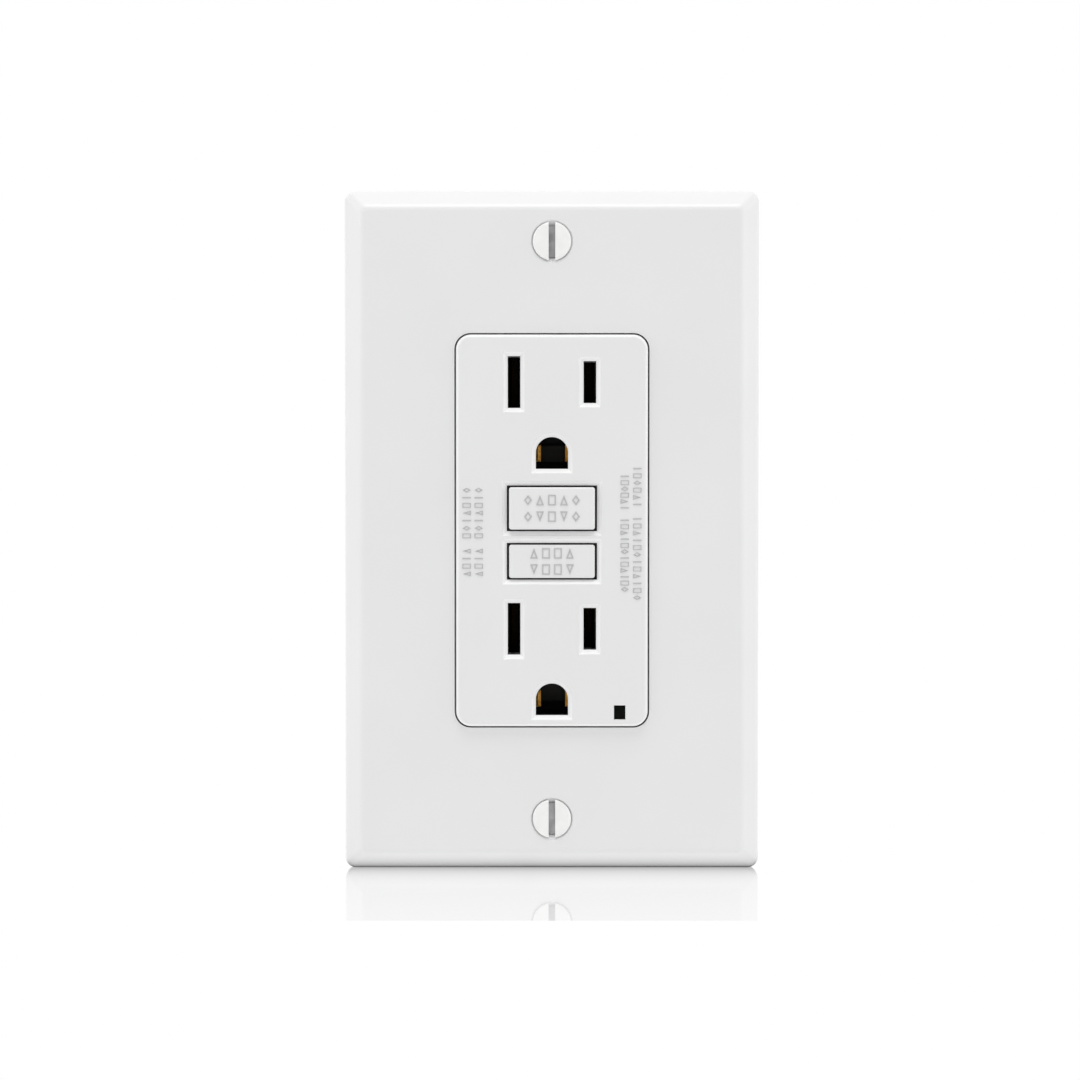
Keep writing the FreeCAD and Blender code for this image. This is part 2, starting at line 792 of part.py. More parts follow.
def ground_contact(label, level):
    """A brass spring clip: two tines beside the ground opening and a foot under the strap."""
    centre = f"{level} - ground_drop"
    left, right = "ground_shift - ground_gap / 2", "ground_shift + ground_gap / 2"
    outer_left, outer_right = f"{left} - metal_thick", f"{right} + metal_thick"
    bottom, top = f"{centre} - tine_half", f"{centre} + tine_half"
    clip = Piece(label)
    tines = [box(outer_left, left, bottom, top), box(right, outer_right, bottom, top)]
    clip.add(tines, "ground_tine_front", "ground_contact_back")
    bridge = box(outer_left, outer_right, bottom, top)
    clip.add([bridge], "ground_contact_back - metal_thick", "ground_contact_back")
    start, stop = f"{top} - overlap", f"{centre} + ground_foot_start + metal_thick / 2"
    sides = [box(outer_left, left, start, stop), box(right, outer_right, start, stop)]
    clip.add(sides, "slip", "ground_side_back")
    foot = box(outer_left, outer_right, f"{centre} + ground_foot_start", f"{centre} + ground_foot_stop")
    clip.add([foot], "slip", "slip + metal_thick")
    clip.cut([disc("ground_shift", f"{centre} + rivet_rise", "rivet_radius + pin_fit")], 0, "beyond")
    clip.bevel("tine_bevel", in_front(size("ground_tine_front")))


def ground_screw():
    """The green screw on the folded tab of the strap."""
    axis = ("ground_screw_offset", "ground_screw_depth")
    under_head = "ground_tab_level - ground_tab_thick"
    head_face = f"{under_head} - terminal_head_thick"
    face_level = size("ground_tab_level") - size("ground_tab_thick") - size("terminal_head_thick")
    screw = Piece("ground_screw")
    screw.add([disc(*axis, "terminal_screw_head")], head_face, under_head, "Z")
    screw.round("head_round", lambda edge: flat_at(edge, "Z", face_level))
    tip = "ground_tab_level + ground_screw_reach"
    screw.add([disc(*axis, "terminal_screw_radius")], f"{under_head} - overlap", tip, "Z")
    slot = centred(*axis, "2 * terminal_screw_head + beyond", "driver_slot")
    screw.cut([slot], head_face, f"{head_face} + driver_slot_depth", "Z")


def mid_housing():
    """The separator: carries the contacts in front and closes the circuit compartment behind."""
    inner = "body_width / 2 - skirt_wall - 2 * slip"
    block = Piece("mid_housing")
    front = box(f"-({inner})", inner, "body_height / -2", "body_height / 2")
    block.add([front], 0, "skirt_back + overlap")
    block.add([centred(0, 0, "body_width", "body_height")], "skirt_back + hair", "mid_back")
    block.round("housing_round", corner_at(size("body_width") / 2, size("body_height") / 2))
    key_tub = box("-tub_half", "tub_half", "tub_low", "tub_high")
    block.cut([key_tub], 0, "tub_floor")
    for side in SIGNS:
        contact_channels(block, side)
    for level in receptacle_levels():
        ground_pits(block, f"{level} - ground_drop")
    pin_hole = disc(0, "reset_level", "pin_radius + pin_clearance")
    block.cut([pin_hole], "tub_floor - overlap", "mid_back")
    margin = "2 * lamp_margin"
    lamp_hole = centred("lamp_offset", "lamp_level", f"lamp_width + {margin}", f"lamp_height + {margin}")
    block.cut([lamp_hole], 0, "mid_back")
    block.cut(corner_discs("assembly_radius + assembly_clearance"), 0, "mid_back")
    for side in SIGNS:
        for up in SIGNS:
            block.cut([terminal_recess(side, up)], "recess_front", "mid_back")
        terminal_bores(block, side, "terminal_bore_reach")
    left, right = "ground_screw_offset - screw_pit_half", "ground_screw_offset + screw_pit_half"
    near, far = "ground_screw_depth - screw_pit_half", "ground_screw_depth + screw_pit_half"
    deepest = "ground_tab_level + ground_screw_reach + beyond"
    block.cut([box(left, right, near, far)], "body_height / -2", deepest, "Z")


def contact_channels(block, side):
    """The room for one pole's blade clips, its common band and its fixed contact."""
    low, high = ordered(side, "channel_inner", "channel_outer")
    upper, lower = receptacle_levels()
    clips = [box(low, high, f"{level} - channel_half", f"{level} + channel_half") for level in (upper, lower)]
    block.cut(clips, 0, "mid_floor_front")
    low, high = ordered(side, "band_inner - 2 * overlap", "channel_outer")
    bottom, top = f"{lower} + channel_half - overlap", f"{upper} - channel_half + overlap"
    block.cut([box(low, high, bottom, top)], "strip_front - beyond", "mid_floor_front")
    centre = f"{side}contact_offset"
    pit = centred(centre, "contact_level", "contact_pit_width", "contact_pit_height")
    block.cut([pit], "strip_front - beyond", "mid_floor_front")
    bore = disc(centre, "contact_level", "contact_radius + contact_clearance")
    block.cut([bore], "mid_floor_front - overlap", "mid_back")


def ground_pits(block, centre):
    """The deep room for one ground contact and the shallow one for its foot."""
    left, right = "ground_shift - ground_pit_half", "ground_shift + ground_pit_half"
    deep = box(left, right, f"{centre} - ground_pit_drop", f"{centre} + ground_pit_rise")
    block.cut([deep], 0, "mid_floor_front")
    shallow = box(left, right, f"{centre} + ground_pit_rise - overlap", f"{centre} + foot_pit_rise")
    block.cut([shallow], 0, "foot_pit_back")


def ordered(side, near, far):
    """Two distances from the middle plane as positions in rising order on one side."""
    if side == "-":
        return f"-({far})", f"-({near})"
    return near, far


def terminal_recess(side, up):
    """The outline, seen along Y, of the pit that holds one side terminal."""
    low, high = ordered(side, "recess_floor", "body_width / 2 + beyond")
    centre = f"{up}terminal_level"
    return box(low, high, f"{centre} - recess_half", f"{centre} + recess_half")


def terminal_bores(block, side, reach):
    """Blind bores for the tips of the two terminal screws on one side."""
    bores = [disc("terminal_depth", f"{up}terminal_level", "terminal_bore") for up in SIGNS]
    low, high = ordered(side, f"recess_floor - {reach}", "recess_floor + overlap")
    block.cut(bores, low, high, "X")


def rear_housing():
    """The back tray: walls, screw posts, terminal pits, wire entries and a sunk label field."""
    tray = Piece("rear_housing")
    tray.add([centred(0, 0, "body_width", "body_height")], "mid_back", "rear_back")
    tray.round("housing_round", corner_at(size("body_width") / 2, size("body_height") / 2))
    tray.bevel("tray_bevel", in_front(size("rear_back")))
    cavity = centred(0, 0, "body_width - 2 * housing_wall", "body_height - 2 * housing_wall")
    tray.cut([cavity], "mid_back", "rear_floor")
    tray.add(corner_discs("post_radius"), "mid_back", "rear_floor + overlap")
    for side in SIGNS:
        for up in SIGNS:
            terminal_pit(tray, side, up)
        terminal_bores(tray, side, "(recess_wall + overlap)")
    funnels = mouths_at(size("rear_back"), size("body_width") / 2, size("body_height") / 2)
    tray.bevel("wire_funnel", funnels)
    tray.cut([centred(0, 0, "label_width", "label_height")], "rear_back - label_depth", "rear_back")
    tray.cut(corner_discs("assembly_radius + assembly_clearance"), "mid_back", "rear_back")
    tray.cut(corner_discs("assembly_head + assembly_head_gap"), "assembly_head_front", "rear_back")


def terminal_pit(tray, side, up):
    """The walled pit of one side terminal, the anchor of its plate and its two wire holes."""
    centre = f"{up}terminal_level"
    bottom, top = f"{centre} - recess_half - recess_wall", f"{centre} + recess_half + recess_wall"
    outer = "body_width / 2 - 2 * overlap"
    low, high = ordered(side, "recess_floor - recess_wall", outer)
    tray.add([box(low, high, bottom, top)], "mid_back", "recess_back + recess_wall")
    low, high = ordered(side, "recess_floor + 2 * overlap", outer)
    tray.add([box(low, high, bottom, top)], "recess_back", "rear_floor + overlap")
    tray.cut([terminal_recess(side, up)], "mid_back", "recess_back")
    low, high = ordered(side, "terminal_plate_inner - slip", "terminal_plate_inner + terminal_thick + slip")
    anchor = box(low, high, f"{centre} - tail_half - 2 * slip", f"{centre} + tail_half + 2 * slip")
    tray.cut([anchor], "recess_back", "recess_back + tail_depth + 2 * overlap")
    wires = [
        disc(f"{side}wire_hole_offset", f"{centre} {rise} wire_hole_rise", "wire_hole_radius")
        for rise in ("+", "-")
    ]
    tray.cut(wires, "recess_back", "rear_back")


def assembly_screws():
    """Four long screws that clamp the rear tray, the separator and the face cover together."""
    head_face = "rear_back - assembly_head_sink"
    screws = Piece("assembly_screws")
    screws.add(corner_discs("assembly_radius"), "assembly_tip", "assembly_head_front")
    screws.add(corner_discs("assembly_head"), "assembly_head_front", head_face)
    screws.round("head_round", in_front(size("rear_back") - size("assembly_head_sink")))
    slot = ("assembly_slot_width", "assembly_slot_length")
    slots = [
        centred(f"{right}assembly_offset", f"{up}assembly_level", *slot) for right in SIGNS for up in SIGNS
    ]
    screws.cut(slots, "rear_back - driver_slot_depth", "rear_back")


def contact_strip(label, side):
    """One pole: blade clips for both receptacles on a common band, and the fixed contact."""
    inner_face, outer_face = "blade_offset - blade_gap / 2", "blade_offset + blade_gap / 2"
    strip = Piece(label)
    low, high = ordered(side, "band_inner", "band_inner + metal_thick")
    strip.add([box(low, high, "strip_bottom", "strip_top")], "strip_front", "strip_base")
    for level in receptacle_levels():
        bottom, top = f"{level} - leaf_half", f"{level} + leaf_half"
        low, high = ordered(side, f"{inner_face} - metal_thick", inner_face)
        inner_leaf = box(low, high, bottom, top)
        low, high = ordered(side, outer_face, f"{outer_face} + metal_thick")
        outer_leaf = box(low, high, bottom, top)
        strip.add([inner_leaf, outer_leaf], "leaf_front", "leaf_back")
        low, high = ordered(side, f"{inner_face} - metal_thick", f"{outer_face} + metal_thick")
        strip.add([box(low, high, bottom, top)], "leaf_back - metal_thick", "leaf_back")
        low, high = ordered(side, outer_face, "band_inner + metal_thick")
        link = box(low, high, f"{level} - link_half", f"{level} + link_half")
        strip.add([link], "link_back - metal_thick", "link_back")
    centre = f"{side}contact_offset"
    left, right = f"{centre} - contact_tab_half", f"{centre} + contact_tab_half"
    bottom, top = "contact_level - contact_tab_rise", "contact_level + contact_tab_rise"
    strip.add([box(left, right, bottom, top)], "link_back", "link_back + metal_thick")
    strip.add([disc(centre, "contact_level", "contact_radius")], "link_back + overlap", "fixed_contact_back")
    strip.bevel("leaf_bevel", in_front(size("leaf_front")))


def terminal_plate(label, side, up):
    """A tapped plate at the bottom of a terminal pit, with the tail that anchors it."""
    centre = f"{up}terminal_level"
    low, high = ordered(side, "terminal_plate_inner", "terminal_plate_inner + terminal_thick")
    tail_start = "recess_back - terminal_margin / 2"
    plate = Piece(label)
    face = box(low, high, f"{centre} - terminal_plate_half", f"{centre} + terminal_plate_half")
    plate.add([face], "recess_front + terminal_margin", tail_start)
    tail = box(low, high, f"{centre} - tail_half", f"{centre} + tail_half")
    plate.add([tail], f"{tail_start} - overlap", "recess_back + tail_depth")
    plate.cut([disc("terminal_depth", centre, "terminal_screw_radius + slip")], low, high, "X")


def clamp_plate(label, side, up):
    """The square pressure plate that traps a wire on each side of the screw."""
    centre = f"{up}terminal_level"
    low, high = ordered(side, "terminal_clamp_inner", "terminal_clamp_inner + terminal_thick")
    clamp = Piece(label)
    clamp.add([centred("terminal_depth", centre, "clamp_depth", "clamp_height")], low, high, "X")
    clamp.cut([disc("terminal_depth", centre, "terminal_screw_radius + clamp_hole_gap")], low, high, "X")
    low, high = ordered(side, "terminal_clamp_inner", "terminal_clamp_inner + groove_depth")
    grooves = [
        centred("terminal_depth", f"{centre} {rise} wire_hole_rise", "clamp_depth + beyond", "groove_width")
        for rise in ("+", "-")
    ]
    clamp.cut(grooves, low, high, "X")


def terminal_screw(label, side, up):
    """A side terminal screw with a slotted binding head."""
    axis = ("terminal_depth", f"{up}terminal_level")
    head_near = "terminal_clamp_inner + terminal_thick"
    head_far = f"{head_near} + terminal_head_thick"
    face = size("terminal_clamp_inner") + size("terminal_thick") + size("terminal_head_thick")
    face_position = -face if side == "-" else face
    screw = Piece(label)
    low, high = ordered(side, head_near, head_far)
    screw.add([disc(*axis, "terminal_screw_head")], low, high, "X")
    screw.round("head_round", lambda edge: flat_at(edge, "X", face_position))
    low, high = ordered(side, "terminal_screw_tip", f"{head_near} + overlap")
    screw.add([disc(*axis, "terminal_screw_radius")], low, high, "X")
    low, high = ordered(side, f"{head_far} - driver_slot_depth", f"{head_far} + beyond")
    screw.cut([centred(*axis, "2 * terminal_screw_head + beyond", "driver_slot")], low, high, "X")


def contact_arm(label, side):
    """A spring arm that carries one moving contact, rooted beside the sensing transformer."""
    centre = f"{side}contact_offset"
    left, right = f"{centre} - arm_width / 2", f"{centre} + arm_width / 2"
    arm_back = "arm_front + arm_thick"
    arm = Piece(label)
    blade = box(left, right, "arm_root", "contact_level + moving_contact_radius")
    arm.add([blade], "arm_front", arm_back)
    arm.add([disc("arm_front + arm_thick / 2", "arm_root", "arm_bead")], left, right, "X")
    contact = disc(centre, "contact_level", "moving_contact_radius")
    arm.add([contact], "moving_contact_front", "arm_front + overlap")


def carriage():
    """The lifter that the reset pin pulls forward to close both poles."""
    block = Piece("contact_carriage")
    body = box("-carriage_half", "carriage_half", "carriage_bottom", "carriage_top")
    block.add([body], "carriage_front", "carriage_back")
    block.add([box("-wing_reach", "wing_reach", "wing_low", "wing_high")], "wing_front", "wing_back")
    block.cut([disc(0, "reset_level", "carriage_bore")], "carriage_front", "carriage_back")
    half_slot = "latch_half + 2 * slip"
    slot_low = "latch_bottom - latch_stroke - 2 * overlap"
    slot = box(f"-({half_slot})", half_slot, slot_low, "carriage_top")
    block.cut([slot], "latch_front - latch_gap", "latch_front + metal_thick + latch_gap")
    notch = box("-tab_notch_half", "tab_notch_half", "carriage_top - tab_notch_depth", "carriage_top")
    block.cut([notch], "carriage_front", "carriage_back")
    half_cavity = "latch_spring_outer + overlap"
    cavity = box(f"-({half_cavity})", half_cavity, "latch_cavity_low", "latch_bottom")
    cavity_back = "latch_front + metal_thick + latch_cavity_margin"
    block.cut([cavity], "latch_front - latch_cavity_margin", cavity_back)


def latch_plate():
    """The sliding steel catch: a keyhole for the reset pin and a tab for the plunger."""
    back = "latch_front + metal_thick"
    plate = Piece("latch_plate")
    plate.add([box("-latch_half", "latch_half", "latch_bottom", "latch_top")], "latch_front", back)
    tab = box("-latch_tab_half", "latch_tab_half", "latch_top - metal_thick", "latch_top")
    plate.add([tab], "latch_tab_front", "latch_front + overlap")
    plate.cut([disc(0, "reset_level + latch_stroke", "latch_key")], "latch_front", back)
    plate.cut([disc(0, "reset_level", "latch_neck")], "latch_front", back)


def solenoid():
    """The trip solenoid: steel frame, bobbin, winding and plunger on one upright axis."""
    low, high = "coil_low + frame_thick", "coil_high - frame_thick"
    near, far = "coil_depth - frame_half", "coil_depth + frame_half"
    frame = Piece("solenoid_frame")
    frame.add([box("-frame_half", "frame_half", near, far)], "coil_low", "coil_high", "Z")
    window = box("-frame_half - beyond", "frame_half + beyond", low, high)
    frame.cut([window], f"{near} + frame_thick", f"{far} - frame_thick")
    frame.cut([disc(0, "coil_depth", "bobbin_radius + slip")], "coil_low", low, "Z")
    bobbin = Piece("solenoid_bobbin")
    bobbin.add([disc(0, "coil_depth", "bobbin_radius")], "coil_low", high, "Z")
    flange = centred(0, "coil_depth", "2 * flange_half", "2 * flange_half")
    bobbin.add([flange], low, f"{low} + flange_thick", "Z")
    bobbin.add([flange], f"{high} - flange_thick", high, "Z")
    bobbin.cut([disc(0, "coil_depth", "bobbin_bore")], "coil_low", f"{high} - bobbin_end", "Z")
    coil = Piece("solenoid_coil")
    coil_ring = disc(0, "coil_depth", "coil_radius")
    coil.add([coil_ring], f"{low} + flange_thick", f"{high} - flange_thick", "Z")
    coil.cut([disc(0, "coil_depth", "bobbin_radius")], low, high, "Z")
    plunger = Piece("solenoid_plunger")
    plunger.add([disc(0, "coil_depth", "plunger_radius")], "plunger_nose", "plunger_end", "Z")
    plunger.bevel("plunger_bevel", lambda edge: flat_at(edge, "Z", size("plunger_nose")))


def ring_disc(radius):
    """A circle outline about the axis of the sensing transformer."""
    return disc(0, "boat_level", radius)


def transformer():
    """The sensing transformer: a round boat, two stacked ring cores and their windings."""
    boat = Piece("transformer_boat")
    boat.add([ring_disc("boat_radius")], "boat_front", "boat_back")
    boat.cut([ring_disc("boat_radius - boat_wall")], "boat_front", "boat_back - boat_wall")
    boat.add([ring_disc("boat_hole + boat_wall")], "boat_front", "boat_back - overlap")
    boat.cut([ring_disc("boat_hole")], "boat_front", "boat_back")
    cores = Piece("sense_cores")
    windings = Piece("sense_windings")
    first = "boat_front + core_margin"
    second = f"{first} + core_height + 2 * winding_thick + core_gap"
    for start in (first, second):
        stop = f"{start} + core_height"
        cores.add([ring_disc("core_outer")], start, stop)
        wound = (f"{start} - winding_thick", f"{stop} + winding_thick")
        windings.add([ring_disc("core_outer + winding_thick")], *wound)
    cores.cut([ring_disc("core_inner")], "boat_front", "boat_back")
    windings.cut([ring_disc("core_inner - winding_thick")], "boat_front", "boat_back")
    for start in (first, second):
        stop = f"{start} + core_height"
        windings.cut([ring_disc("core_outer")], start, stop)
        windings.add([ring_disc("core_inner")], start, stop)
        windings.cut([ring_disc("core_inner - winding_thick")], start, stop)
    gap = box("-winding_gap_half", "winding_gap_half", "boat_level", "boat_level + boat_radius")
    windings.cut([gap], "boat_front", "boat_back")


def line_lead(label, side):
    """A conductor from the board through the ring cores to the root of one contact arm."""
    across = ("boat_level - lead_width / 2", "boat_level + lead_width / 2")
    bar_back = "boat_front - slip"
    lead = Piece(label)
    low, high = ordered(side, "lead_offset", "lead_offset + lead_width")
    lead.add([box(low, high, *across)], "lead_front", "board_front")
    low, high = ordered(side, "lead_offset", "contact_offset + arm_width / 2")
    lead.add([box(low, high, *across)], "lead_front", bar_back)
    low, high = ordered(side, "contact_offset - arm_width / 2", "contact_offset + arm_width / 2")
    foot_low = "arm_root - lead_foot_low"
    lead.add([box(low, high, foot_low, "boat_level")], "lead_front", bar_back)
    foot_front = "arm_front + arm_thick + lead_foot_gap"
    foot_back = f"{foot_front} + lead_thick"
    lead.add([box(low, high, foot_low, f"{foot_low} + lead_thick")], f"{bar_back} - overlap", foot_back)
    lead.add([box(low, high, foot_low, "arm_root + lead_foot_high")], foot_front, foot_back)


def circuit_board():
    """The laminate and everything soldered to its front face."""
    board = Piece("circuit_board")
    board.add([centred(0, 0, "board_width", "board_height")], "board_front", "board_back")
    for label, (blocks, stand) in BOARD_BLOCKS.items():
        part = Piece(label)
        part.add([centred(*block) for block in blocks], f"board_front - {stand}", "board_front")
    for label, (circle, stand) in BOARD_CANS.items():
        can = Piece(label)
        can.add([disc(*circle)], f"board_front - {stand}", "board_front")
    lamp = Piece("indicator_lamp")
    lamp.add([disc("lamp_offset", "lamp_level", "lamp_radius")], "board_front - lamp_stand", "board_front")


def light_pipe():
    """The clear bar that carries the lamp's light to the window in the face."""
    pipe = Piece("light_pipe")
    bar = centred("lamp_offset", "lamp_level", "lamp_width - 2 * slip", "lamp_height - 2 * slip")
    pipe.add([bar], "face_front + lamp_sink", "board_front - lamp_stand - 2 * overlap")


def build():
    """Every piece, from the wall plate in front to the circuit board behind."""
    write_dimensions()
    wall_plate()
    plate_screw("plate_screw_upper", "")
    plate_screw("plate_screw_lower", "-")
    box_screw("box_screw_upper", "")
    box_screw("box_screw_lower", "-")
    face_cover()
    reset_button()
    test_button()
    reset_pin()
    springs()
    strap()
    strap_rivets()
    ground_contact("ground_contact_upper", receptacle_levels()[0])
    ground_contact("ground_contact_lower", receptacle_levels()[1])
    ground_screw()
    mid_housing()
    rear_housing()
    assembly_screws()
    contact_strip("hot_contact_strip", "")
    contact_strip("neutral_contact_strip", "-")
    for role, up in zip(("load", "line"), SIGNS):
        for pole, side in zip(("hot", "neutral"), SIGNS):
            terminal_plate(f"{role}_{pole}_plate", side, up)
            clamp_plate(f"{role}_{pole}_clamp", side, up)
            terminal_screw(f"{role}_{pole}_screw", side, up)
    contact_arm("hot_contact_arm", "")
    contact_arm("neutral_contact_arm", "-")
    carriage()
    latch_plate()
    solenoid()
    transformer()
    line_lead("hot_line_lead", "")
    line_lead("neutral_line_lead", "-")
    circuit_board()
    light_pipe()


def check_document():
    """Stop if any feature failed or any node has no valid shape."""
    for item in document.Objects:
        if "Invalid" in item.State or "Error" in item.State:
            raise RuntimeError(f"{item.Label} is in state {item.State}")
    for node in nodes:
        if node.Shape.isNull() or not node.Shape.isValid() or not node.Shape.Solids:
            raise RuntimeError(f"{node.Label} has no valid solid")


def write_nodes():
    """One STEP file for each piece."""
    os.makedirs("parts", exist_ok=True)
    for node in nodes:
        node.Shape.exportStep(f"parts/{node.Label}.step")
        print(f"{node.Label}: {len(node.Shape.Solids)} solids, {node.Shape.Volume:.2f} mm3")


build()
document.recompute()
check_document()
write_nodes()
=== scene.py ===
import json
import math

import bmesh
import bpy
from mathutils import Matrix, Vector


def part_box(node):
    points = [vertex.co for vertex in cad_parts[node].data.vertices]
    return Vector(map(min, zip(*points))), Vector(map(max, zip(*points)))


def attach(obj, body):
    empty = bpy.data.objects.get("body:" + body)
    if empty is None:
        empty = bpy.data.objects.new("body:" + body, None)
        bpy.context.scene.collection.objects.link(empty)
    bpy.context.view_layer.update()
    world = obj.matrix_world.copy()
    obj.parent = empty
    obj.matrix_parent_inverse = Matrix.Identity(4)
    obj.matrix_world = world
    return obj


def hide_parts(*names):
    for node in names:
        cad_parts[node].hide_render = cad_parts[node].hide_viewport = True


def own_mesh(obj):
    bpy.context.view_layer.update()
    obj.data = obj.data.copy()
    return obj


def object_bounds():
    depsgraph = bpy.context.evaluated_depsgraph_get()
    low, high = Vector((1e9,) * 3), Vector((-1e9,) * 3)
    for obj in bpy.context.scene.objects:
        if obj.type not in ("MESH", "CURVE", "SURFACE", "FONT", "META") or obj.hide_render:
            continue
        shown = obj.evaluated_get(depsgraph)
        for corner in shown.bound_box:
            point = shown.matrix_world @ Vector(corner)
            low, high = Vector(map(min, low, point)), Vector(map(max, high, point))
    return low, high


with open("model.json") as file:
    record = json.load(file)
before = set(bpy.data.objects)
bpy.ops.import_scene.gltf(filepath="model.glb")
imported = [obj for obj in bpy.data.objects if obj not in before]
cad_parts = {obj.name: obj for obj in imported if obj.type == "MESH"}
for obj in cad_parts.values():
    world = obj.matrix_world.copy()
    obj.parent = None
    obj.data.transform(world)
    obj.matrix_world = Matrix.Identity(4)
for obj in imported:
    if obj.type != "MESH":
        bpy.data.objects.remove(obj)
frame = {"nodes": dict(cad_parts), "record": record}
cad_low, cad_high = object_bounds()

# A white duplex ground-fault receptacle with its wall plate. Metres; +X right, +Y into the wall,
# +Z up.

MM = 0.001
SCENE = bpy.context.scene
BODY_OF = {
    node: body
    for body, nodes in frame["record"]["behaviour"]["bodies"].items()
    for node in nodes
}
SLOT_OF = {entry["node"]: entry["material_slot"] for entry in frame["record"]["subparts"]}

# Painted tones set by place: painted shade on the walls of narrow gaps and a painted highlight on the
# chamfers of the face.
PAINTED_SHADE_TONE = (0.004, 0.004, 0.004)
PAINTED_HIGHLIGHT_TONE = (0.9, 0.9, 0.9)

# Edges steeper than these angles, in degrees, stay sharp.
SMOOTH_ANGLE = 35
SHARP_ANGLE = 30
WINDING_ANGLE = 80

# Depths along +Y where the painted shade on the walls of narrow gaps starts and stops, and where the
# painted highlight on the face's edges starts.
FACE_GAP_SHADE = (-5.8 * MM, -3.3 * MM)
FACE_HIGHLIGHT_START = -6.59 * MM
KEY_GAP_SHADE = (-6.0 * MM, -3.0 * MM)


# ---------------------------------------------------------------- materials


class Network:
    """Short ways to add nodes to the tree of a material or a world."""

    def __init__(self, owner):
        owner.use_nodes = True
        self.nodes = owner.node_tree.nodes
        self.links = owner.node_tree.links

    def add(self, kind, sources=(), **settings):
        """A new node with settings, whose first inputs take sockets or plain values."""
        node = self.nodes.new("ShaderNode" + kind)
        for name, value in settings.items():
            setattr(node, name, value)
        for socket, source in zip(node.inputs, sources):
            self.feed(socket, source)
        return node

    def feed(self, socket, source):
        """Link a socket to another one, or set its plain value."""
        if isinstance(source, bpy.types.NodeSocket):
            self.links.new(source, socket)
        else:
            socket.default_value = source

    def maths(self, operation, first, second=0.0):
        """One arithmetic step on sockets or plain numbers."""
        return self.add("Math", (first, second), operation=operation).outputs["Value"]

    def axes(self, coordinates):
        """The three parts of the named texture coordinate."""
        place = self.add("TexCoord")
        split = self.add("SeparateXYZ", (place.outputs[coordinates],))
        return split.outputs["X"], split.outputs["Y"], split.outputs["Z"]

    def span(self, value, low, high, from_low=0.0, from_high=1.0):
        """A value that runs from low to high while another runs between two limits."""
        node = self.add("MapRange", (value, from_low, from_high, low, high))
        return node.outputs["Result"]


class Surface(Network):
    """A node material built step by step around one Principled shader."""

    def __init__(self, name, roughness=0.4, metallic=0.0):
        self.material = bpy.data.materials.new(name)
        super().__init__(self.material)
        self.shader = self.nodes["Principled BSDF"]
        self.shader.inputs["Roughness"].default_value = roughness
        self.shader.inputs["Metallic"].default_value = metallic
        self.place = self.add("TexCoord")

    def noise(self, scale, detail=3.0, stretch=(1, 1, 1)):
        """Noise in object space, with scale in features per metre."""
        mapping = self.nodes.new("ShaderNodeMapping")
        mapping.inputs["Scale"].default_value = stretch
        self.links.new(self.place.outputs["Object"], mapping.inputs["Vector"])
        texture = self.nodes.new("ShaderNodeTexNoise")
        texture.inputs["Scale"].default_value = scale
        texture.inputs["Detail"].default_value = detail
        self.links.new(mapping.outputs["Vector"], texture.inputs["Vector"])
        return texture.outputs["Fac"]

    def ramp(self, value, low, high, start=0.35, stop=0.65):
        """Colour that runs from one tone to another as a value rises."""
        ramp = self.nodes.new("ShaderNodeValToRGB")
        ramp.color_ramp.elements[0].position = start
        ramp.color_ramp.elements[1].position = stop
        ramp.color_ramp.elements[0].color = (*low, 1)
        ramp.color_ramp.elements[1].color = (*high, 1)
        self.links.new(value, ramp.inputs["Fac"])
        return ramp.outputs["Color"]

    def depth_band(self, start, stop, soft=0.4 * MM):
        """1 between two depths along +Y, with a soft start, and 0 elsewhere."""
        depth = self.axes("Object")[1]
        rise = self.span(depth, 0.0, 1.0, start, start + soft)
        return self.maths("MULTIPLY", rise, self.maths("LESS_THAN", depth, stop))

    def shade(self, colour, amount, tone):
        """Mix a colour towards another tone."""
        mix = self.add("Mix", data_type="RGBA")
        self.feed(mix.inputs["Factor"], amount)
        self.feed(mix.inputs[6], colour)
        self.feed(mix.inputs[7], (*tone, 1))
        return mix.outputs[2]

    def colour(self, source):
        """Take the base colour from a socket."""
        self.links.new(source, self.shader.inputs["Base Color"])
        return self

    def rough(self, source):
        """Take the roughness from a socket."""
        self.links.new(source, self.shader.inputs["Roughness"])
        return self

    def bump(self, source, depth, strength=1.0):
        """Surface relief of a given depth in metres."""
        node = self.nodes.new("ShaderNodeBump")
        node.inputs["Distance"].default_value = depth
        node.inputs["Strength"].default_value = strength
        self.links.new(source, node.inputs["Height"])
        self.links.new(node.outputs["Normal"], self.shader.inputs["Normal"])
        return self


def white_plastic(name, tone, roughness, painted_highlight_from=None, gap=None):
    """Moulded white thermoplastic: almost even, with a faint flow tone and a fine orange peel.

    Edges and chamfers behind the front are toned lighter as a painted highlight, and the walls of a
    narrow gap are toned dark as painted shade between two depths.
    """
    surface = Surface(name, roughness)
    cloudy = surface.noise(60, 2.0)
    colour = surface.ramp(cloudy, (tone * 0.985,) * 3, (tone,) * 3)
    # Painted highlight: edges and chamfers behind the front are toned lighter.
    if painted_highlight_from is not None:
        colour = surface.shade(colour, surface.depth_band(painted_highlight_from, 0.0, 0.15 * MM), PAINTED_HIGHLIGHT_TONE)
    # Painted shade: the walls of a narrow gap are toned almost black between two depths.
    if gap:
        colour = surface.shade(colour, surface.depth_band(*gap), PAINTED_SHADE_TONE)
    surface.colour(colour)
    surface.rough(surface.span(surface.noise(900, 2.0), roughness - 0.04, roughness + 0.05))
    surface.bump(surface.noise(2400, 2.0), 0.004 * MM, 0.5)
    return surface.material


def grained_plastic(name, low, high, roughness):
    """Moulded plastic with the fine spark-eroded grain of hidden housings."""
    surface = Surface(name, roughness)
    surface.colour(surface.ramp(surface.noise(700, 4.0), low, high))
    surface.bump(surface.noise(5200, 4.0), 0.02 * MM, 0.8)
    return surface.material


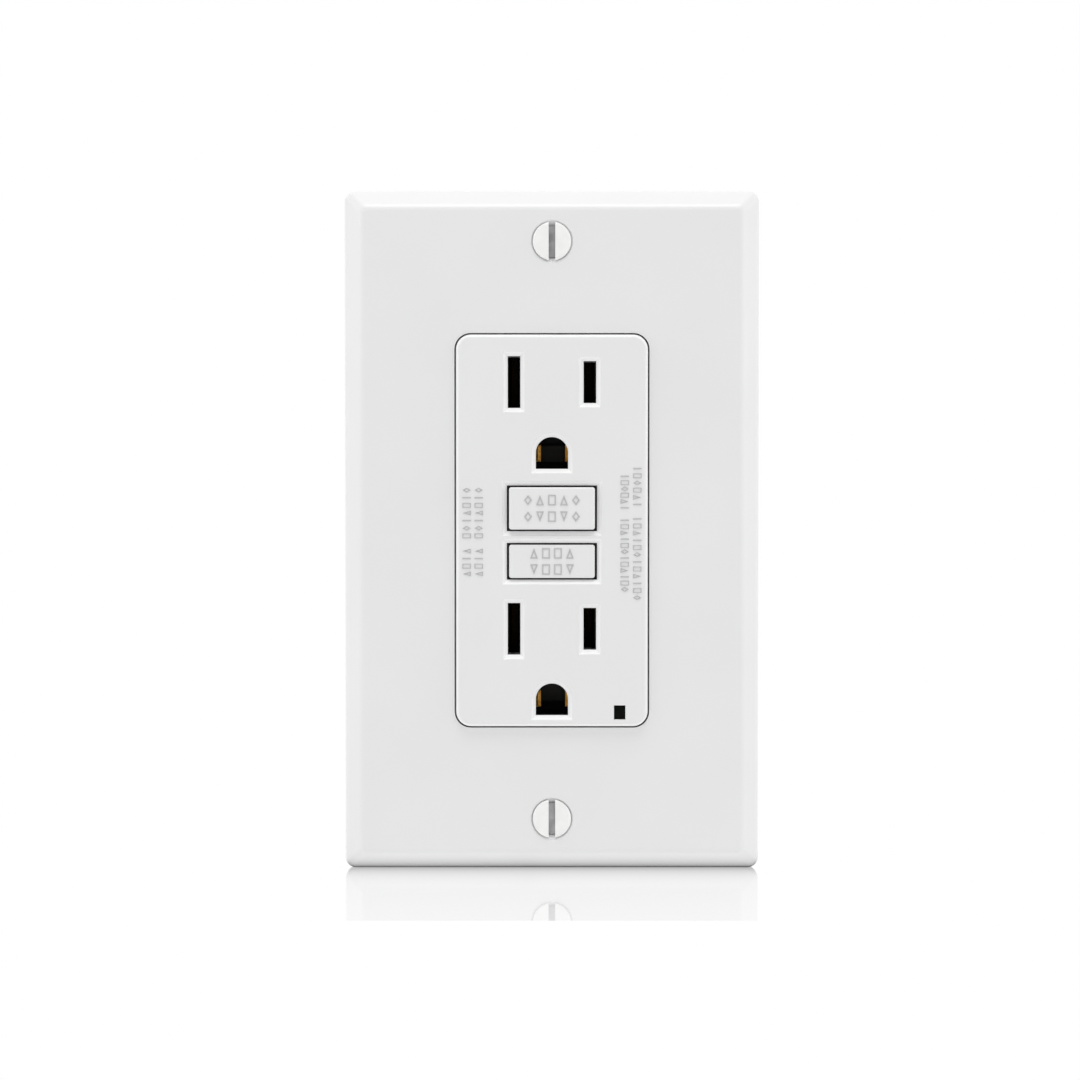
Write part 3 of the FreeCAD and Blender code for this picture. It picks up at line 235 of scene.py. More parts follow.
def plated_metal(name, low, high, roughness, stretch=(1, 1, 1), metallic=1.0):
    """Rolled or plated metal: uneven tone, drawn streaks and a slightly varied gloss."""
    surface = Surface(name, roughness, metallic)
    surface.colour(surface.ramp(surface.noise(420, 5.0, stretch), low, high, 0.3, 0.7))
    streaks = surface.noise(2600, 3.0, stretch)
    surface.rough(surface.span(streaks, roughness - 0.08, roughness + 0.12))
    surface.bump(streaks, 0.006 * MM, 0.6)
    return surface.material


def brass_with_painted_shade(name):
    """Ground contact: bright brass lips, toned almost black behind them as painted shade."""
    surface = Surface(name, 0.4, metallic=0.35)
    bright = surface.ramp(surface.noise(1500, 5.0), (0.62, 0.26, 0.02), (0.95, 0.52, 0.1))
    # Painted shade: the brass turns almost black deeper than 2.4 mm behind the lips.
    surface.colour(surface.shade(bright, surface.depth_band(-2.4 * MM, 20 * MM), (0.01, 0.007, 0.004)))
    surface.bump(surface.noise(3200, 3.0), 0.03 * MM, 0.8)
    return surface.material


def dark_lens(name):
    """Unlit indicator light pipe: almost black, with hardly any shine."""
    surface = Surface(name, 0.5)
    surface.colour(surface.ramp(surface.noise(700, 4.0), (0.002, 0.003, 0.002), (0.004, 0.005, 0.004)))
    surface.shader.inputs["Specular IOR Level"].default_value = 0.06
    return surface.material


def enamel(name):
    """Thick glossy white enamel on a screw's head."""
    surface = Surface(name, 0.3)
    surface.colour(surface.ramp(surface.noise(500, 2.0), (0.86, 0.86, 0.85), (0.9, 0.9, 0.89)))
    surface.bump(surface.noise(1800, 2.0), 0.006 * MM, 0.6)
    return surface.material


def board_laminate(name):
    """Green solder resist with small darker patches of copper showing through."""
    surface = Surface(name, 0.35)
    cells = surface.nodes.new("ShaderNodeTexVoronoi")
    cells.distance = "MANHATTAN"
    cells.inputs["Scale"].default_value = 420
    surface.links.new(surface.place.outputs["Object"], cells.inputs["Vector"])
    surface.colour(surface.ramp(cells.outputs["Distance"], (0.02, 0.12, 0.06), (0.03, 0.2, 0.1), 0.3, 0.34))
    surface.bump(cells.outputs["Distance"], 0.03 * MM, 0.4)
    return surface.material


def make_materials():
    """One finished material for each slot of the record."""
    brushed = (1, 1, 12)
    return {
        "plate_plastic": white_plastic("plate_plastic", 0.8, 0.3),
        # The face and keys carry painted shade in their gaps; the face also a painted highlight on its
        # edges.
        "face_plastic": white_plastic("face_plastic", 0.8, 0.36, FACE_HIGHLIGHT_START, FACE_GAP_SHADE),
        "button_plastic": white_plastic("button_plastic", 0.8, 0.36, None, KEY_GAP_SHADE),
        "separator_plastic": grained_plastic("separator_plastic", (0.015,) * 3, (0.018,) * 3, 0.5),
        "tray_plastic": grained_plastic("tray_plastic", (0.042, 0.044, 0.047), (0.049, 0.051, 0.054), 0.45),
        "white_enamel": enamel("white_enamel"),
        "zinc_steel": plated_metal("zinc_steel", (0.5, 0.51, 0.53), (0.66, 0.67, 0.68), 0.34, brushed),
        "spring_steel": plated_metal("spring_steel", (0.42, 0.42, 0.43), (0.6, 0.6, 0.6), 0.3),
        "green_plating": plated_metal("green_plating", (0.02, 0.22, 0.08), (0.04, 0.34, 0.14), 0.3),
        "brass": plated_metal("brass", (0.72, 0.44, 0.12), (0.86, 0.58, 0.2), 0.3, brushed),
        "nickel_plating": plated_metal("nickel_plating", (0.56, 0.55, 0.52), (0.7, 0.7, 0.68), 0.3, brushed),
        "copper": plated_metal("copper", (0.55, 0.2, 0.09), (0.72, 0.32, 0.17), 0.3),
        "inner_nylon": grained_plastic("inner_nylon", (0.66, 0.64, 0.57), (0.69, 0.67, 0.6), 0.45),
        "ferrite": grained_plastic("ferrite", (0.03, 0.03, 0.032), (0.06, 0.06, 0.062), 0.6),
        "soft_iron": plated_metal("soft_iron", (0.3, 0.3, 0.31), (0.45, 0.45, 0.46), 0.4, brushed),
        "board_laminate": board_laminate("board_laminate"),
        "black_epoxy": grained_plastic("black_epoxy", (0.012, 0.012, 0.013), (0.03, 0.03, 0.03), 0.45),
        "blue_epoxy": grained_plastic("blue_epoxy", (0.02, 0.06, 0.25), (0.03, 0.09, 0.34), 0.25),
        "lamp_lens": dark_lens("lamp_lens"),
        # The contact strips are toned almost black: painted shade in the blade slots.
        "bronze_in_painted_shade": plated_metal("bronze_in_painted_shade", (0.03, 0.02, 0.012), (0.05, 0.032, 0.018), 0.5, brushed),
        "brass_with_painted_shade": brass_with_painted_shade("brass_with_painted_shade"),
        "sawn_steel": plated_metal("sawn_steel", (0.34,) * 3, (0.6,) * 3, 0.5, metallic=0.5),
        # The raised marks are toned grey: painted shade of their relief.
        "raised_mark": white_plastic("raised_mark", 0.5, 0.4),
    }


MATERIALS = make_materials()


def dress_cad_nodes():
    """Give every CAD node the finished material of its slot; the contact strips and ground contacts get
    their own finish, with painted shade.
    """
    own_finish = {
        "hot_contact_strip": "bronze_in_painted_shade",
        "neutral_contact_strip": "bronze_in_painted_shade",
        "ground_contact_upper": "brass_with_painted_shade",
        "ground_contact_lower": "brass_with_painted_shade",
    }
    for name, node in frame["nodes"].items():
        node.data.materials.clear()
        node.data.materials.append(MATERIALS[own_finish.get(name, SLOT_OF[name])])


# ------------------------------------------------------------------- pieces


def add_piece(name, mesh, node, finish=None):
    """Put a mesh in the scene as a piece that rides and is coloured like a CAD node."""
    piece = bpy.data.objects.new(name, mesh)
    SCENE.collection.objects.link(piece)
    mesh.materials.append(MATERIALS[finish or SLOT_OF[node]])
    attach(piece, BODY_OF[node])
    return piece


def loft(shape, rings, capped=True):
    """Join rings of equal count one after another, then cap the ends or join the last to the first."""
    pairs = list(zip(rings, rings[1:]))
    if capped:
        shape.faces.new(list(reversed(rings[0])))
        shape.faces.new(rings[-1])
    else:
        pairs.append((rings[-1], rings[0]))
    count = len(rings[0])
    for lower, upper in pairs:
        for index in range(count):
            following = (index + 1) % count
            shape.faces.new((lower[index], lower[following], upper[following], upper[index]))


def lathe(shape, profile, segments, swell=None):
    """Revolve (radius, height) points about local Z; swell adds to the radius by turn and height."""
    rings = []
    for radius, height in profile:
        ring = []
        for step in range(segments):
            turn = step / segments
            reach = radius + swell(turn, height) if swell else radius
            angle = 2 * math.pi * turn
            ring.append(shape.verts.new((reach * math.cos(angle), reach * math.sin(angle), height)))
        rings.append(ring)
    loft(shape, rings)


def wire(shape, path, radius, sides=8):
    """Sweep a round wire along (point, outward) pairs, where outward points across the wire."""
    rings = []
    for index, (point, outward) in enumerate(path):
        before = path[max(index - 1, 0)][0]
        after = path[min(index + 1, len(path) - 1)][0]
        along = (after - before).normalized()
        across = (outward - along * outward.dot(along)).normalized()
        beside = along.cross(across)
        ring = []
        for side in range(sides):
            angle = 2 * math.pi * side / sides
            offset = (across * math.cos(angle) + beside * math.sin(angle)) * radius
            ring.append(shape.verts.new(point + offset))
        rings.append(ring)
    loft(shape, rings)


def finish_mesh(shape, name, smooth_angle=SMOOTH_ANGLE):
    """Turn a bmesh into mesh data with outward faces and smooth shading below an angle."""
    bmesh.ops.recalc_face_normals(shape, faces=shape.faces)
    mesh = bpy.data.meshes.new(name)
    shape.to_mesh(mesh)
    shape.free()
    mesh.shade_smooth()
    mesh.set_sharp_from_angle(angle=math.radians(smooth_angle))
    return mesh


def turned(axis, origin):
    """A matrix that stands the local Z axis along an axis through a point."""
    rotation = Vector((0, 0, 1)).rotation_difference(Vector(axis)).to_matrix().to_4x4()
    return Matrix.Translation(origin) @ rotation


def carve(piece, cutter_shape, cut_finish=None):
    """Subtract a bmesh from a piece and apply the cut, with its own finish inside if one is named."""
    cutter = bpy.data.objects.new("cutter", finish_mesh(cutter_shape, "cutter"))
    SCENE.collection.objects.link(cutter)
    modifier = piece.modifiers.new("cut", "BOOLEAN")
    modifier.operation = "DIFFERENCE"
    modifier.solver = "EXACT"
    modifier.object = cutter
    if cut_finish:
        cutter.data.materials.append(MATERIALS[cut_finish])
        modifier.material_mode = "TRANSFER"
    bpy.context.view_layer.update()
    evaluated = piece.evaluated_get(bpy.context.evaluated_depsgraph_get())
    carved = bpy.data.meshes.new_from_object(evaluated)
    piece.modifiers.clear()
    piece.data = carved
    carved.set_sharp_from_angle(angle=math.radians(SHARP_ANGLE))
    bpy.data.objects.remove(cutter)
    flatten = piece.modifiers.new("even_normals", "WEIGHTED_NORMAL")
    flatten.keep_sharp = True
    flatten.weight = 100


# ------------------------------------------------------- marks on the plastic

MARK_HEIGHT = 0.12 * MM
MARK_ROOT = 0.05 * MM
MARK_SLOPE = 0.05 * MM
KEY_STROKE = 0.24 * MM
KEY_SYMBOL = (1.35 * MM, 1.8 * MM)
KEY_SPACING = 2.0 * MM
COLUMN_STROKE = 0.17 * MM
COLUMN_SYMBOL = (0.85 * MM, 1.45 * MM)

# Columns of symbols beside the keys, in mm: where each stands, its bottom and top, and if it is
# read upwards.
SHORT_COLUMNS = ((-14.27, -7.2, 6.8, True), (-12.25, -7.2, 6.8, True))
LONG_COLUMNS = ((12.17, -9.8, 9.1, False), (14.27, -11.2, 10.4, False))

# Each symbol is a closed outline in a cell that runs from -1 to 1 both ways; the bar is solid.
SYMBOLS = {
    "square": ((-1, -1), (1, -1), (1, 1), (-1, 1)),
    "diamond": ((0, -1), (1, 0), (0, 1), (-1, 0)),
    "triangle": ((-1, -1), (1, -1), (0, 1)),
    "bar": ((-0.3, -1), (0.3, -1), (0.3, 1), (-0.3, 1)),
}


def inset(outline, distance):
    """Move every side of a counter-clockwise outline inwards by a distance."""
    inner = []
    count = len(outline)
    for index in range(count):
        before, here, after = outline[index - 1], outline[index], outline[(index + 1) % count]
        first = (here - before).normalized()
        second = (after - here).normalized()
        turn = first.x * second.y - first.y * second.x
        inner.append(here + (second - first) * distance / turn)
    return inner


def raise_symbol(shape, name, centre, across, up, half_width, half_height, stroke):
    """Add one raised symbol with sloping sides to a mesh, rooted just under the surface."""
    outer = [Vector((u * half_width, v * half_height)) for u, v in SYMBOLS[name]]
    levels = [(outer, MARK_ROOT), (inset(outer, MARK_SLOPE), -MARK_HEIGHT)]
    solid = name == "bar"
    if not solid:
        levels += [(inset(outer, stroke - MARK_SLOPE), -MARK_HEIGHT), (inset(outer, stroke), MARK_ROOT)]
    rings = []
    for outline, depth in levels:
        ring = []
        for point in outline:
            place = centre + across * point.x + up * point.y
            ring.append(shape.verts.new((place.x, centre.y + depth, place.z)))
        rings.append(ring)
    loft(shape, rings, capped=solid)


def symbol_row(shape, names, start, stop, up, width, height, stroke):
    """Space symbols evenly from one point to another; None leaves a space."""
    along = (stop - start).normalized()
    step = (stop - start) / (len(names) - 1)
    for index, name in enumerate(names):
        if name:
            raise_symbol(shape, name, start + step * index, along, up, width / 2, height / 2, stroke)


def add_legend(name, shape, node):
    """Turn finished marks into a piece of raised symbols, toned grey as painted shade, that rides with its
    node.
    """
    add_piece(name, finish_mesh(shape, name), node, "raised_mark")


def face_legend():
    """Two columns of symbols on each side of the keys, in groups like words."""
    short = ["triangle", "square", "bar", "triangle", None]
    short += ["square", "diamond", "bar", "triangle", "square", "bar", "diamond"]
    long = ["bar", "square", "diamond", "square", "triangle", "bar", None]
    long += ["bar", "square", "triangle", "bar", "square", "diamond"] * 2
    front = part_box("face_cover")[0].y
    shape = bmesh.new()
    columns = [(short, *column) for column in SHORT_COLUMNS]
    columns += [(long, *column) for column in LONG_COLUMNS]
    for names, x, low, high, rising in columns:
        bottom, top = Vector((x * MM, front, low * MM)), Vector((x * MM, front, high * MM))
        start, stop = (bottom, top) if rising else (top, bottom)
        up = Vector((-1 if rising else 1, 0, 0))
        symbol_row(shape, names, start, stop, up, *COLUMN_SYMBOL, COLUMN_STROKE)
    add_legend("face_legend", shape, "face_cover")


def key_legend(node, names, row_gap):
    """Two rows of symbols on a key, the lower row upside down."""
    low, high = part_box(node)
    reach = (len(names) - 1) * KEY_SPACING / 2
    shape = bmesh.new()
    for way in (1, -1):
        middle = Vector((0, low.y, (low.z + high.z) / 2 + way * row_gap / 2))
        start = middle + Vector((-way * reach, 0, 0))
        stop = middle + Vector((way * reach, 0, 0))
        symbol_row(shape, names, start, stop, Vector((0, 0, way)), *KEY_SYMBOL, KEY_STROKE)
    add_legend(node + "_legend", shape, node)


# -------------------------------------------------------------------- screws

THREAD_PITCH = 0.794 * MM
THREAD_DEPTH = 0.4 * MM
RINGS_PER_TURN = 8
SCREW_SEGMENTS = 48
DOME_STEPS = 6
HEAD_GAP = 0.12 * MM
EDGE_BREAK = 0.1 * MM
SLOT_WIDTH = 1.1 * MM
SLOT_DEPTH = 0.9 * MM
THREAD_END_GAP = 0.3 * MM

# As shares of the core's radius: how long the tip's cone is, and how narrow its end.
TIP_LENGTH = 0.45
TIP_RADIUS = 0.55

# How much steeper than a plain triangle a thread's flanks are, and how far a dome draws in for its height.
THREAD_STEEPNESS = 1.3
DOME_FALL = 1.6

# The kinds of screw: how thick the head is, the shank's radius, the height of the dome and of the cone.
OVAL_HEAD = {"head": 0.4 * MM, "shank": 1.75 * MM, "dome": 0.3 * MM, "cone": 1.6 * MM}
PAN_HEAD = {"head": 1.8 * MM, "shank": 1.75 * MM, "dome": 0.6 * MM, "cone": 0.0}
BINDING_HEAD = {"head": 2.2 * MM, "shank": 2.05 * MM, "dome": 0.4 * MM, "cone": 0.0}


def threaded_shank(core, low, high):
    """Lathe points for a thread between two heights, and how far it swells from its core."""
    steps = int((high - low) / THREAD_PITCH * RINGS_PER_TURN)
    points = [(core, low + (high - low) * step / steps) for step in range(steps + 1)]

    def swell(turn, height):
        """How far the thread stands out from the core at a share of a turn and a height."""
        if not low < height < high:
            return 0.0
        rise = 1 - abs(2 * ((height / THREAD_PITCH - turn) % 1.0) - 1)
        run_out = min(height - low, high - height, THREAD_PITCH) / THREAD_PITCH
        return THREAD_DEPTH * min(1.0, THREAD_STEEPNESS * rise) * run_out

    return points, swell


def domed_head(radius, shoulder, top, form):
    """Lathe points of a screw's head, from its shoulder to the middle of its dome."""
    if form["cone"]:
        points = [(radius - HEAD_GAP, shoulder)]
    else:
        points = [(radius - EDGE_BREAK, shoulder), (radius, shoulder + EDGE_BREAK)]
    edge = points[-1][0]
    for step in range(1, DOME_STEPS + 1):
        angle = math.pi / 2 * step / DOME_STEPS
        fall = DOME_FALL * form["dome"] * (1 - math.cos(angle))
        points.append((edge - fall, top - form["dome"] * (1 - math.sin(angle))))
    return points


def machine_screw(node, outward, form, shank_finish=None, slot_finish=None):
    """A slotted screw with a real thread, in the space that its CAD node holds."""
    low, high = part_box(node)
    axis = Vector(outward)
    middle = (low + high) / 2
    top = abs((high - low).dot(axis)) / 2
    head_radius = ((high - low).z if axis.x else (high - low).x) / 2
    shoulder = top - form["head"]
    core = form["shank"] - THREAD_DEPTH
    under_head = shoulder - form["cone"]
    thread, swell = threaded_shank(core, core * TIP_LENGTH - top, under_head - THREAD_END_GAP)
    head = domed_head(head_radius, shoulder, top, form)
    profile = [(core * TIP_RADIUS, -top), *thread, (core, under_head), *head]
    shape = bmesh.new()
    lathe(shape, profile, SCREW_SEGMENTS, swell)
    for face in shape.faces:
        below = face.calc_center_median().z < under_head
        face.material_index = 1 if shank_finish and below else 0
    bmesh.ops.transform(shape, matrix=turned(outward, middle), verts=shape.verts)
    piece = add_piece(node + "_threaded", finish_mesh(shape, node), node)
    if shank_finish:
        piece.data.materials.append(MATERIALS[shank_finish])
    carve(piece, driver_slot(axis, middle + axis * top, head_radius), slot_finish)
    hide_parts(node)


def driver_slot(axis, top, head_radius):
    """A cutter for the straight driver slot across a screw's head."""
    long_way = Vector((1, 0, 0)) if axis.z else Vector((0, 0, 1))
    across = axis.cross(long_way)
    shape = bmesh.new()
    bmesh.ops.create_cube(shape, size=2)
    for vertex in shape.verts:
        along, sideways, deep = vertex.co
        reach = long_way * along * (head_radius + MM)
        vertex.co = top + reach + across * sideways * SLOT_WIDTH / 2 + axis * deep * SLOT_DEPTH
    return shape


def make_screws():
    """Every slotted screw of the receptacle, each riding on its own body."""
    toward_room = (0, -1, 0)
    for end in ("upper", "lower"):
        machine_screw(f"plate_screw_{end}", toward_room, OVAL_HEAD, "zinc_steel", "sawn_steel")
        machine_screw(f"box_screw_{end}", toward_room, PAN_HEAD)
    machine_screw("ground_screw", (0, 0, -1), BINDING_HEAD)
    for role in ("line", "load"):
        for pole, side in (("hot", 1), ("neutral", -1)):
            machine_screw(f"{role}_{pole}_screw", (side, 0, 0), BINDING_HEAD)


# ------------------------------------------------------------------- springs

STEPS_PER_TURN = 28

# How much longer a spring's box is than the middle line of its wire, in wire radii.
END_ALLOWANCE = 2.1


def coil_spring(node, axis, thick, turns):
    """A helical wire of a given radius in the sleeve that its CAD node holds."""
    low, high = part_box(node)
    direction = Vector(axis)
    middle = (low + high) / 2
    length = abs((high - low).dot(direction))
    radius = (high - low).x / 2 - thick
    span = length - END_ALLOWANCE * thick
    path = []
    for step in range(turns * STEPS_PER_TURN + 1):
        share = step / (turns * STEPS_PER_TURN)
        angle = 2 * math.pi * turns * share
        outward = Vector((math.cos(angle), math.sin(angle), 0))
        path.append((outward * radius + Vector((0, 0, (share - 0.5) * span)), outward))
    shape = bmesh.new()
    wire(shape, path, thick)
    mesh = finish_mesh(shape, node)
    piece = add_piece(node.replace("spring", "coil"), mesh, node)
    mesh.transform(turned(axis, middle))
    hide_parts(node)
    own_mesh(piece)


def make_springs():
    """The return springs of the two keys and of the latch plate."""
    coil_spring("reset_spring", (0, 1, 0), 0.25 * MM, 9)
    coil_spring("test_spring", (0, 1, 0), 0.2 * MM, 10)
    coil_spring("latch_spring", (0, 0, 1), 0.11 * MM, 5)


# ------------------------------------------------------------------ windings

LAYER_TURNS = 44
LAYER_STEPS = 4
LAYER_RADIUS = 0.12 * MM
BOBBIN_RADIUS = 2.52 * MM
RING_TURNS = 40
RING_HOLE = 3.85 * MM
RING_SPACE = 0.4 * MM
RING_START = 110
RING_SWEEP = 320
RING_SIDES = 6
RING_SLANT = 0.2


def solenoid_winding():
    """The solenoid's winding: level layers of fine wire seen as close turns."""
    low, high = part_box("solenoid_coil")
    length, radius = high.z - low.z, (high.x - low.x) / 2
    profile = [(BOBBIN_RADIUS, -length / 2)]
    for step in range(LAYER_TURNS * LAYER_STEPS):
        turn = (step + 0.5) / LAYER_STEPS
        bulge = LAYER_RADIUS * (math.sin(math.pi * (turn % 1.0)) - 1)
        profile.append((radius + bulge, length * (turn / LAYER_TURNS - 0.5)))
    profile.append((BOBBIN_RADIUS, length / 2))
    shape = bmesh.new()
    lathe(shape, profile, SCREW_SEGMENTS)
    bmesh.ops.translate(shape, vec=(low + high) / 2, verts=shape.verts)
    mesh = finish_mesh(shape, "solenoid_winding", WINDING_ANGLE)
    piece = add_piece("solenoid_winding", mesh, "solenoid_coil")
    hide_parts("solenoid_coil")


def ring_windings():
    """Copper wire wound round both ring cores of the sensing transformer."""
    low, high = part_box("sense_windings")
    core_low, core_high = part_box("sense_cores")
    thick = (core_low.y - low.y) / 2
    outer = (core_high.x - core_low.x) / 2 + thick
    height = (high.y - low.y - RING_SPACE) / 2
    axis = (core_low + core_high) / 2
    shape = bmesh.new()
    for front in (low.y, high.y - height):
        near, far = front + thick, front + height - thick
        corners = ((RING_HOLE, near), (outer, near), (outer, far), (RING_HOLE, far))
        path = []
        for step in range(RING_TURNS * len(corners)):
            radius, depth = corners[step % len(corners)]
            angle = math.radians(RING_START + RING_SWEEP * step / (RING_TURNS * len(corners)))
            ray = Vector((math.cos(angle), 0, math.sin(angle)))
            place = Vector((axis.x, depth, axis.z)) + ray * radius
            path.append((place, Vector((0, 1 if depth == far else -1, 0)) + ray * RING_SLANT))
        wire(shape, path, thick, RING_SIDES)
    piece = add_piece("ring_windings", finish_mesh(shape, "ring_windings"), "sense_windings")
    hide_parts("sense_windings")


# ------------------------------------------------------------ parts on the board

BODY, LEAD = 0, 1
CHIP_PINS = 4
CHIP_EDGE = 0.1 * MM
PIN_REACH = 0.6 * MM
PIN_SINK = 0.15 * MM
PIN_LIFT = 0.2 * MM
PIN_WIDTH = 0.4 * MM
PIN_THICK = 0.2 * MM
RESISTOR_PLACES = (0.0, 5 * MM, 11 * MM)
RESISTOR_LENGTH = 3.2 * MM
CAP_LENGTH = 0.5 * MM
CAP_THICK = 0.05 * MM
FINE_EDGE = 0.03 * MM
LEAD_EDGE = 0.05 * MM
DIODE_LENGTH = 4.4 * MM
DIODE_RADIUS = 1.1 * MM
DIODE_LEAD = 0.25 * MM
DIODE_END = 0.6 * MM
DIODE_SEGMENTS = 24
DISC_STEPS = 10
DISC_ROUNDING = 0.35
THYRISTOR_EDGE = 0.5 * MM
FILM_EDGE = 0.7 * MM

# Half the outline of a can with a crimped foot and a rolled top, as shares of its radius and height.
CAN_OUTLINE = (
    (0.96, 0.0), (1.0, 0.02), (1.0, 0.13), (0.92, 0.17), (1.0, 0.21),
    (1.0, 0.96), (0.95, 0.99), (0.88, 1.0), (0.84, 0.98), (0.02, 0.98),
)


def block(shape, low, high, rounding, finish=BODY):
    """Add a box between two corners, with rounded edges, in the body's or the leads' finish.

    Blocks come last in a mesh: lofts and lathes added after a block's bevel had their faces in a
    different order from run to run.
    """
    others = set(shape.faces)
    corners = bmesh.ops.create_cube(shape, size=1)["verts"]
    for vertex in corners:
        share = vertex.co + Vector((0.5, 0.5, 0.5))
        vertex.co = low + (high - low) * share
    # A dict drops repeats and keeps the edges in the same order on every run; a set would not.
    edges = list(dict.fromkeys(edge for vertex in corners for edge in vertex.link_edges))
    bmesh.ops.bevel(shape, geom=edges, offset=rounding, segments=2, profile=0.5, affect="EDGES")
    for face in set(shape.faces) - others:
        face.material_index = finish


def add_board_part(name, shape, node):
    """Turn finished mesh into a piece with a body and tinned leads that stands for its CAD node."""
    piece = add_piece(name, finish_mesh(shape, name), node)
    piece.data.materials.append(MATERIALS["zinc_steel"])
    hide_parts(node)


def moulded_part(name, node, rounding):
    """A plain moulded body with well rounded edges."""
    low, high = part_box(node)
    shape = bmesh.new()
    block(shape, low, high, rounding)
    add_board_part(name, shape, node)


def round_part(name, node, profile):
    """A can or a coated disc that stands on the board: (radius, height) as shares of its box."""
    low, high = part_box(node)
    radius, height = (high.x - low.x) / 2, high.y - low.y
    shape = bmesh.new()
    lathe(shape, [(radius * across, height * (up - 0.5)) for across, up in profile], SCREW_SEGMENTS)
    bmesh.ops.transform(shape, matrix=turned((0, -1, 0), (low + high) / 2), verts=shape.verts)
    add_board_part(name, shape, node)


def chip_with_pins():
    """The control chip: a flat body with four bent pins on each side."""
    low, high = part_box("control_chip")
    shape = bmesh.new()
    knee = (low.y + high.y) / 2
    for toe, inwards in ((low.x, 1), (high.x, -1)):
        root = toe + inwards * (PIN_REACH + PIN_SINK)
        ankle = toe + inwards * PIN_WIDTH
        outline = [(toe, knee), (root, knee), (root, knee + PIN_THICK)]
        outline += [(ankle, knee + PIN_THICK), (ankle, high.y), (toe, high.y)]
        for pin in range(CHIP_PINS):
            level = low.z + (high.z - low.z) * (pin + 0.5) / CHIP_PINS
            others = set(shape.faces)
            sides = (level - PIN_WIDTH / 2, level + PIN_WIDTH / 2)
            loft(shape, [[shape.verts.new((x, y, side)) for x, y in outline] for side in sides])
            for face in set(shape.faces) - others:
                face.material_index = LEAD
    block(shape, low + Vector((PIN_REACH, 0, 0)), high - Vector((PIN_REACH, PIN_LIFT, 0)), CHIP_EDGE)
    add_board_part("chip_with_pins", shape, "control_chip")


def chip_resistors():
    """Three flat resistors with tinned end caps."""
    low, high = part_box("board_resistors")
    shape = bmesh.new()
    for place in RESISTOR_PLACES:
        start = Vector((low.x + place, low.y, low.z))
        stop = Vector((start.x + RESISTOR_LENGTH, high.y, high.z))
        inner = Vector((CAP_LENGTH, CAP_THICK, CAP_THICK))
        block(shape, start + inner, stop - inner, FINE_EDGE)
        block(shape, start, Vector((start.x + CAP_LENGTH, stop.y, stop.z)), LEAD_EDGE, LEAD)
        block(shape, Vector((stop.x - CAP_LENGTH, start.y, start.z)), stop, LEAD_EDGE, LEAD)
    add_board_part("chip_resistors", shape, "board_resistors")


def leaded_diodes():
    """Two round diodes with a band, on leads that turn down to the board."""
    low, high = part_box("rectifier_diodes")
    length, radius, lead = DIODE_LENGTH, DIODE_RADIUS, DIODE_LEAD
    body = length / 2 - DIODE_END
    profile = [(lead, -length / 2), (lead, -body), (radius - lead, -body), (radius, lead - body)]
    profile += [(radius, body / 3), (radius, body * 2 / 3), (radius, body - lead)]
    profile += [(radius - lead, body), (lead, body), (lead, length / 2)]
    shape = bmesh.new()
    middle = (low + high) / 2
    centres = [Vector((middle.x, middle.y, level)) for level in (low.z + length / 2, high.z - length / 2)]
    for centre in centres:
        others = set(shape.verts)
        lathe(shape, profile, DIODE_SEGMENTS)
        made = [vertex for vertex in shape.verts if vertex not in others]
        for face in {face for vertex in made for face in vertex.link_faces}:
            height = face.calc_center_median().z
            is_band = body / 3 < height < body * 2 / 3
            face.material_index = LEAD if is_band or abs(height) > body else BODY
        bmesh.ops.translate(shape, vec=centre, verts=made)
    for centre in centres:
        for end_level in (centre.z - length / 2, centre.z + length / 2 - 2 * lead):
            foot = Vector((centre.x - lead, centre.y, end_level))
            sole = Vector((centre.x + lead, high.y, end_level + 2 * lead))
            block(shape, foot, sole, LEAD_EDGE, LEAD)
    add_board_part("leaded_diodes", shape, "rectifier_diodes")


def make_board_parts():
    """Every small part on the circuit board, in more detail than its CAD node."""
    chip_with_pins()
    chip_resistors()
    leaded_diodes()
    moulded_part("thyristor_body", "trip_thyristor", THYRISTOR_EDGE)
    moulded_part("film_capacitor_body", "film_capacitor", FILM_EDGE)
    rim = []
    for step in range(DISC_STEPS + 1):
        share = step / DISC_STEPS
        rim.append((1 - DISC_ROUNDING * (1 - math.sin(math.pi * share)), share))
    round_part("varistor_disc", "surge_varistor", rim)
    round_part("capacitor_can", "filter_capacitor", CAN_OUTLINE)


# ------------------------------------------------------------ floor and light

# The tent's strength by direction, and how sharply its sides and its top stand out.
FRONT_LIGHT = 0.22
CORNER_LIGHT = 1.2
SIDE_LIGHT = 1.85
SIDE_SHARPNESS = 4
TOP_LIGHT = 2.0
TOP_SHARPNESS = 8

# How strongly the floor lights the object: not at all from under the plate, and fully a short way off.
FLOOR_LIGHT = 1.1
FLOOR_REACH = 6.0
UNLIT_DEPTH = 2.6 * MM
UNLIT_FADE = 2.5 * MM

# The faint mirror image before the plate: its far end, where it reaches full strength, half its
# width, and its strength far off and near.
MIRROR_END = -55 * MM
MIRROR_START = -15 * MM
MIRROR_HALF = 36 * MM
MIRROR_FAR = 0.33
MIRROR_NEAR = 0.5
MIRROR_ROUGHNESS = 0.04

SOFTBOX_PLACE = (0, -0.26, 0.75)
SOFTBOX_SIZE = (0.5, 0.25)
SOFTBOX_POWER = 1.7

# The camera in metres, with its film and lens in mm.
CAMERA_PLACE = (-2.0 * MM, -440 * MM, 9 * MM)
CAMERA_AIM = (-2.0 * MM, 0, -1.7 * MM)
FILM_WIDTH = 36
LENS = 86.4
CLIP_NEAR = 0.01
CLIP_FAR = 50


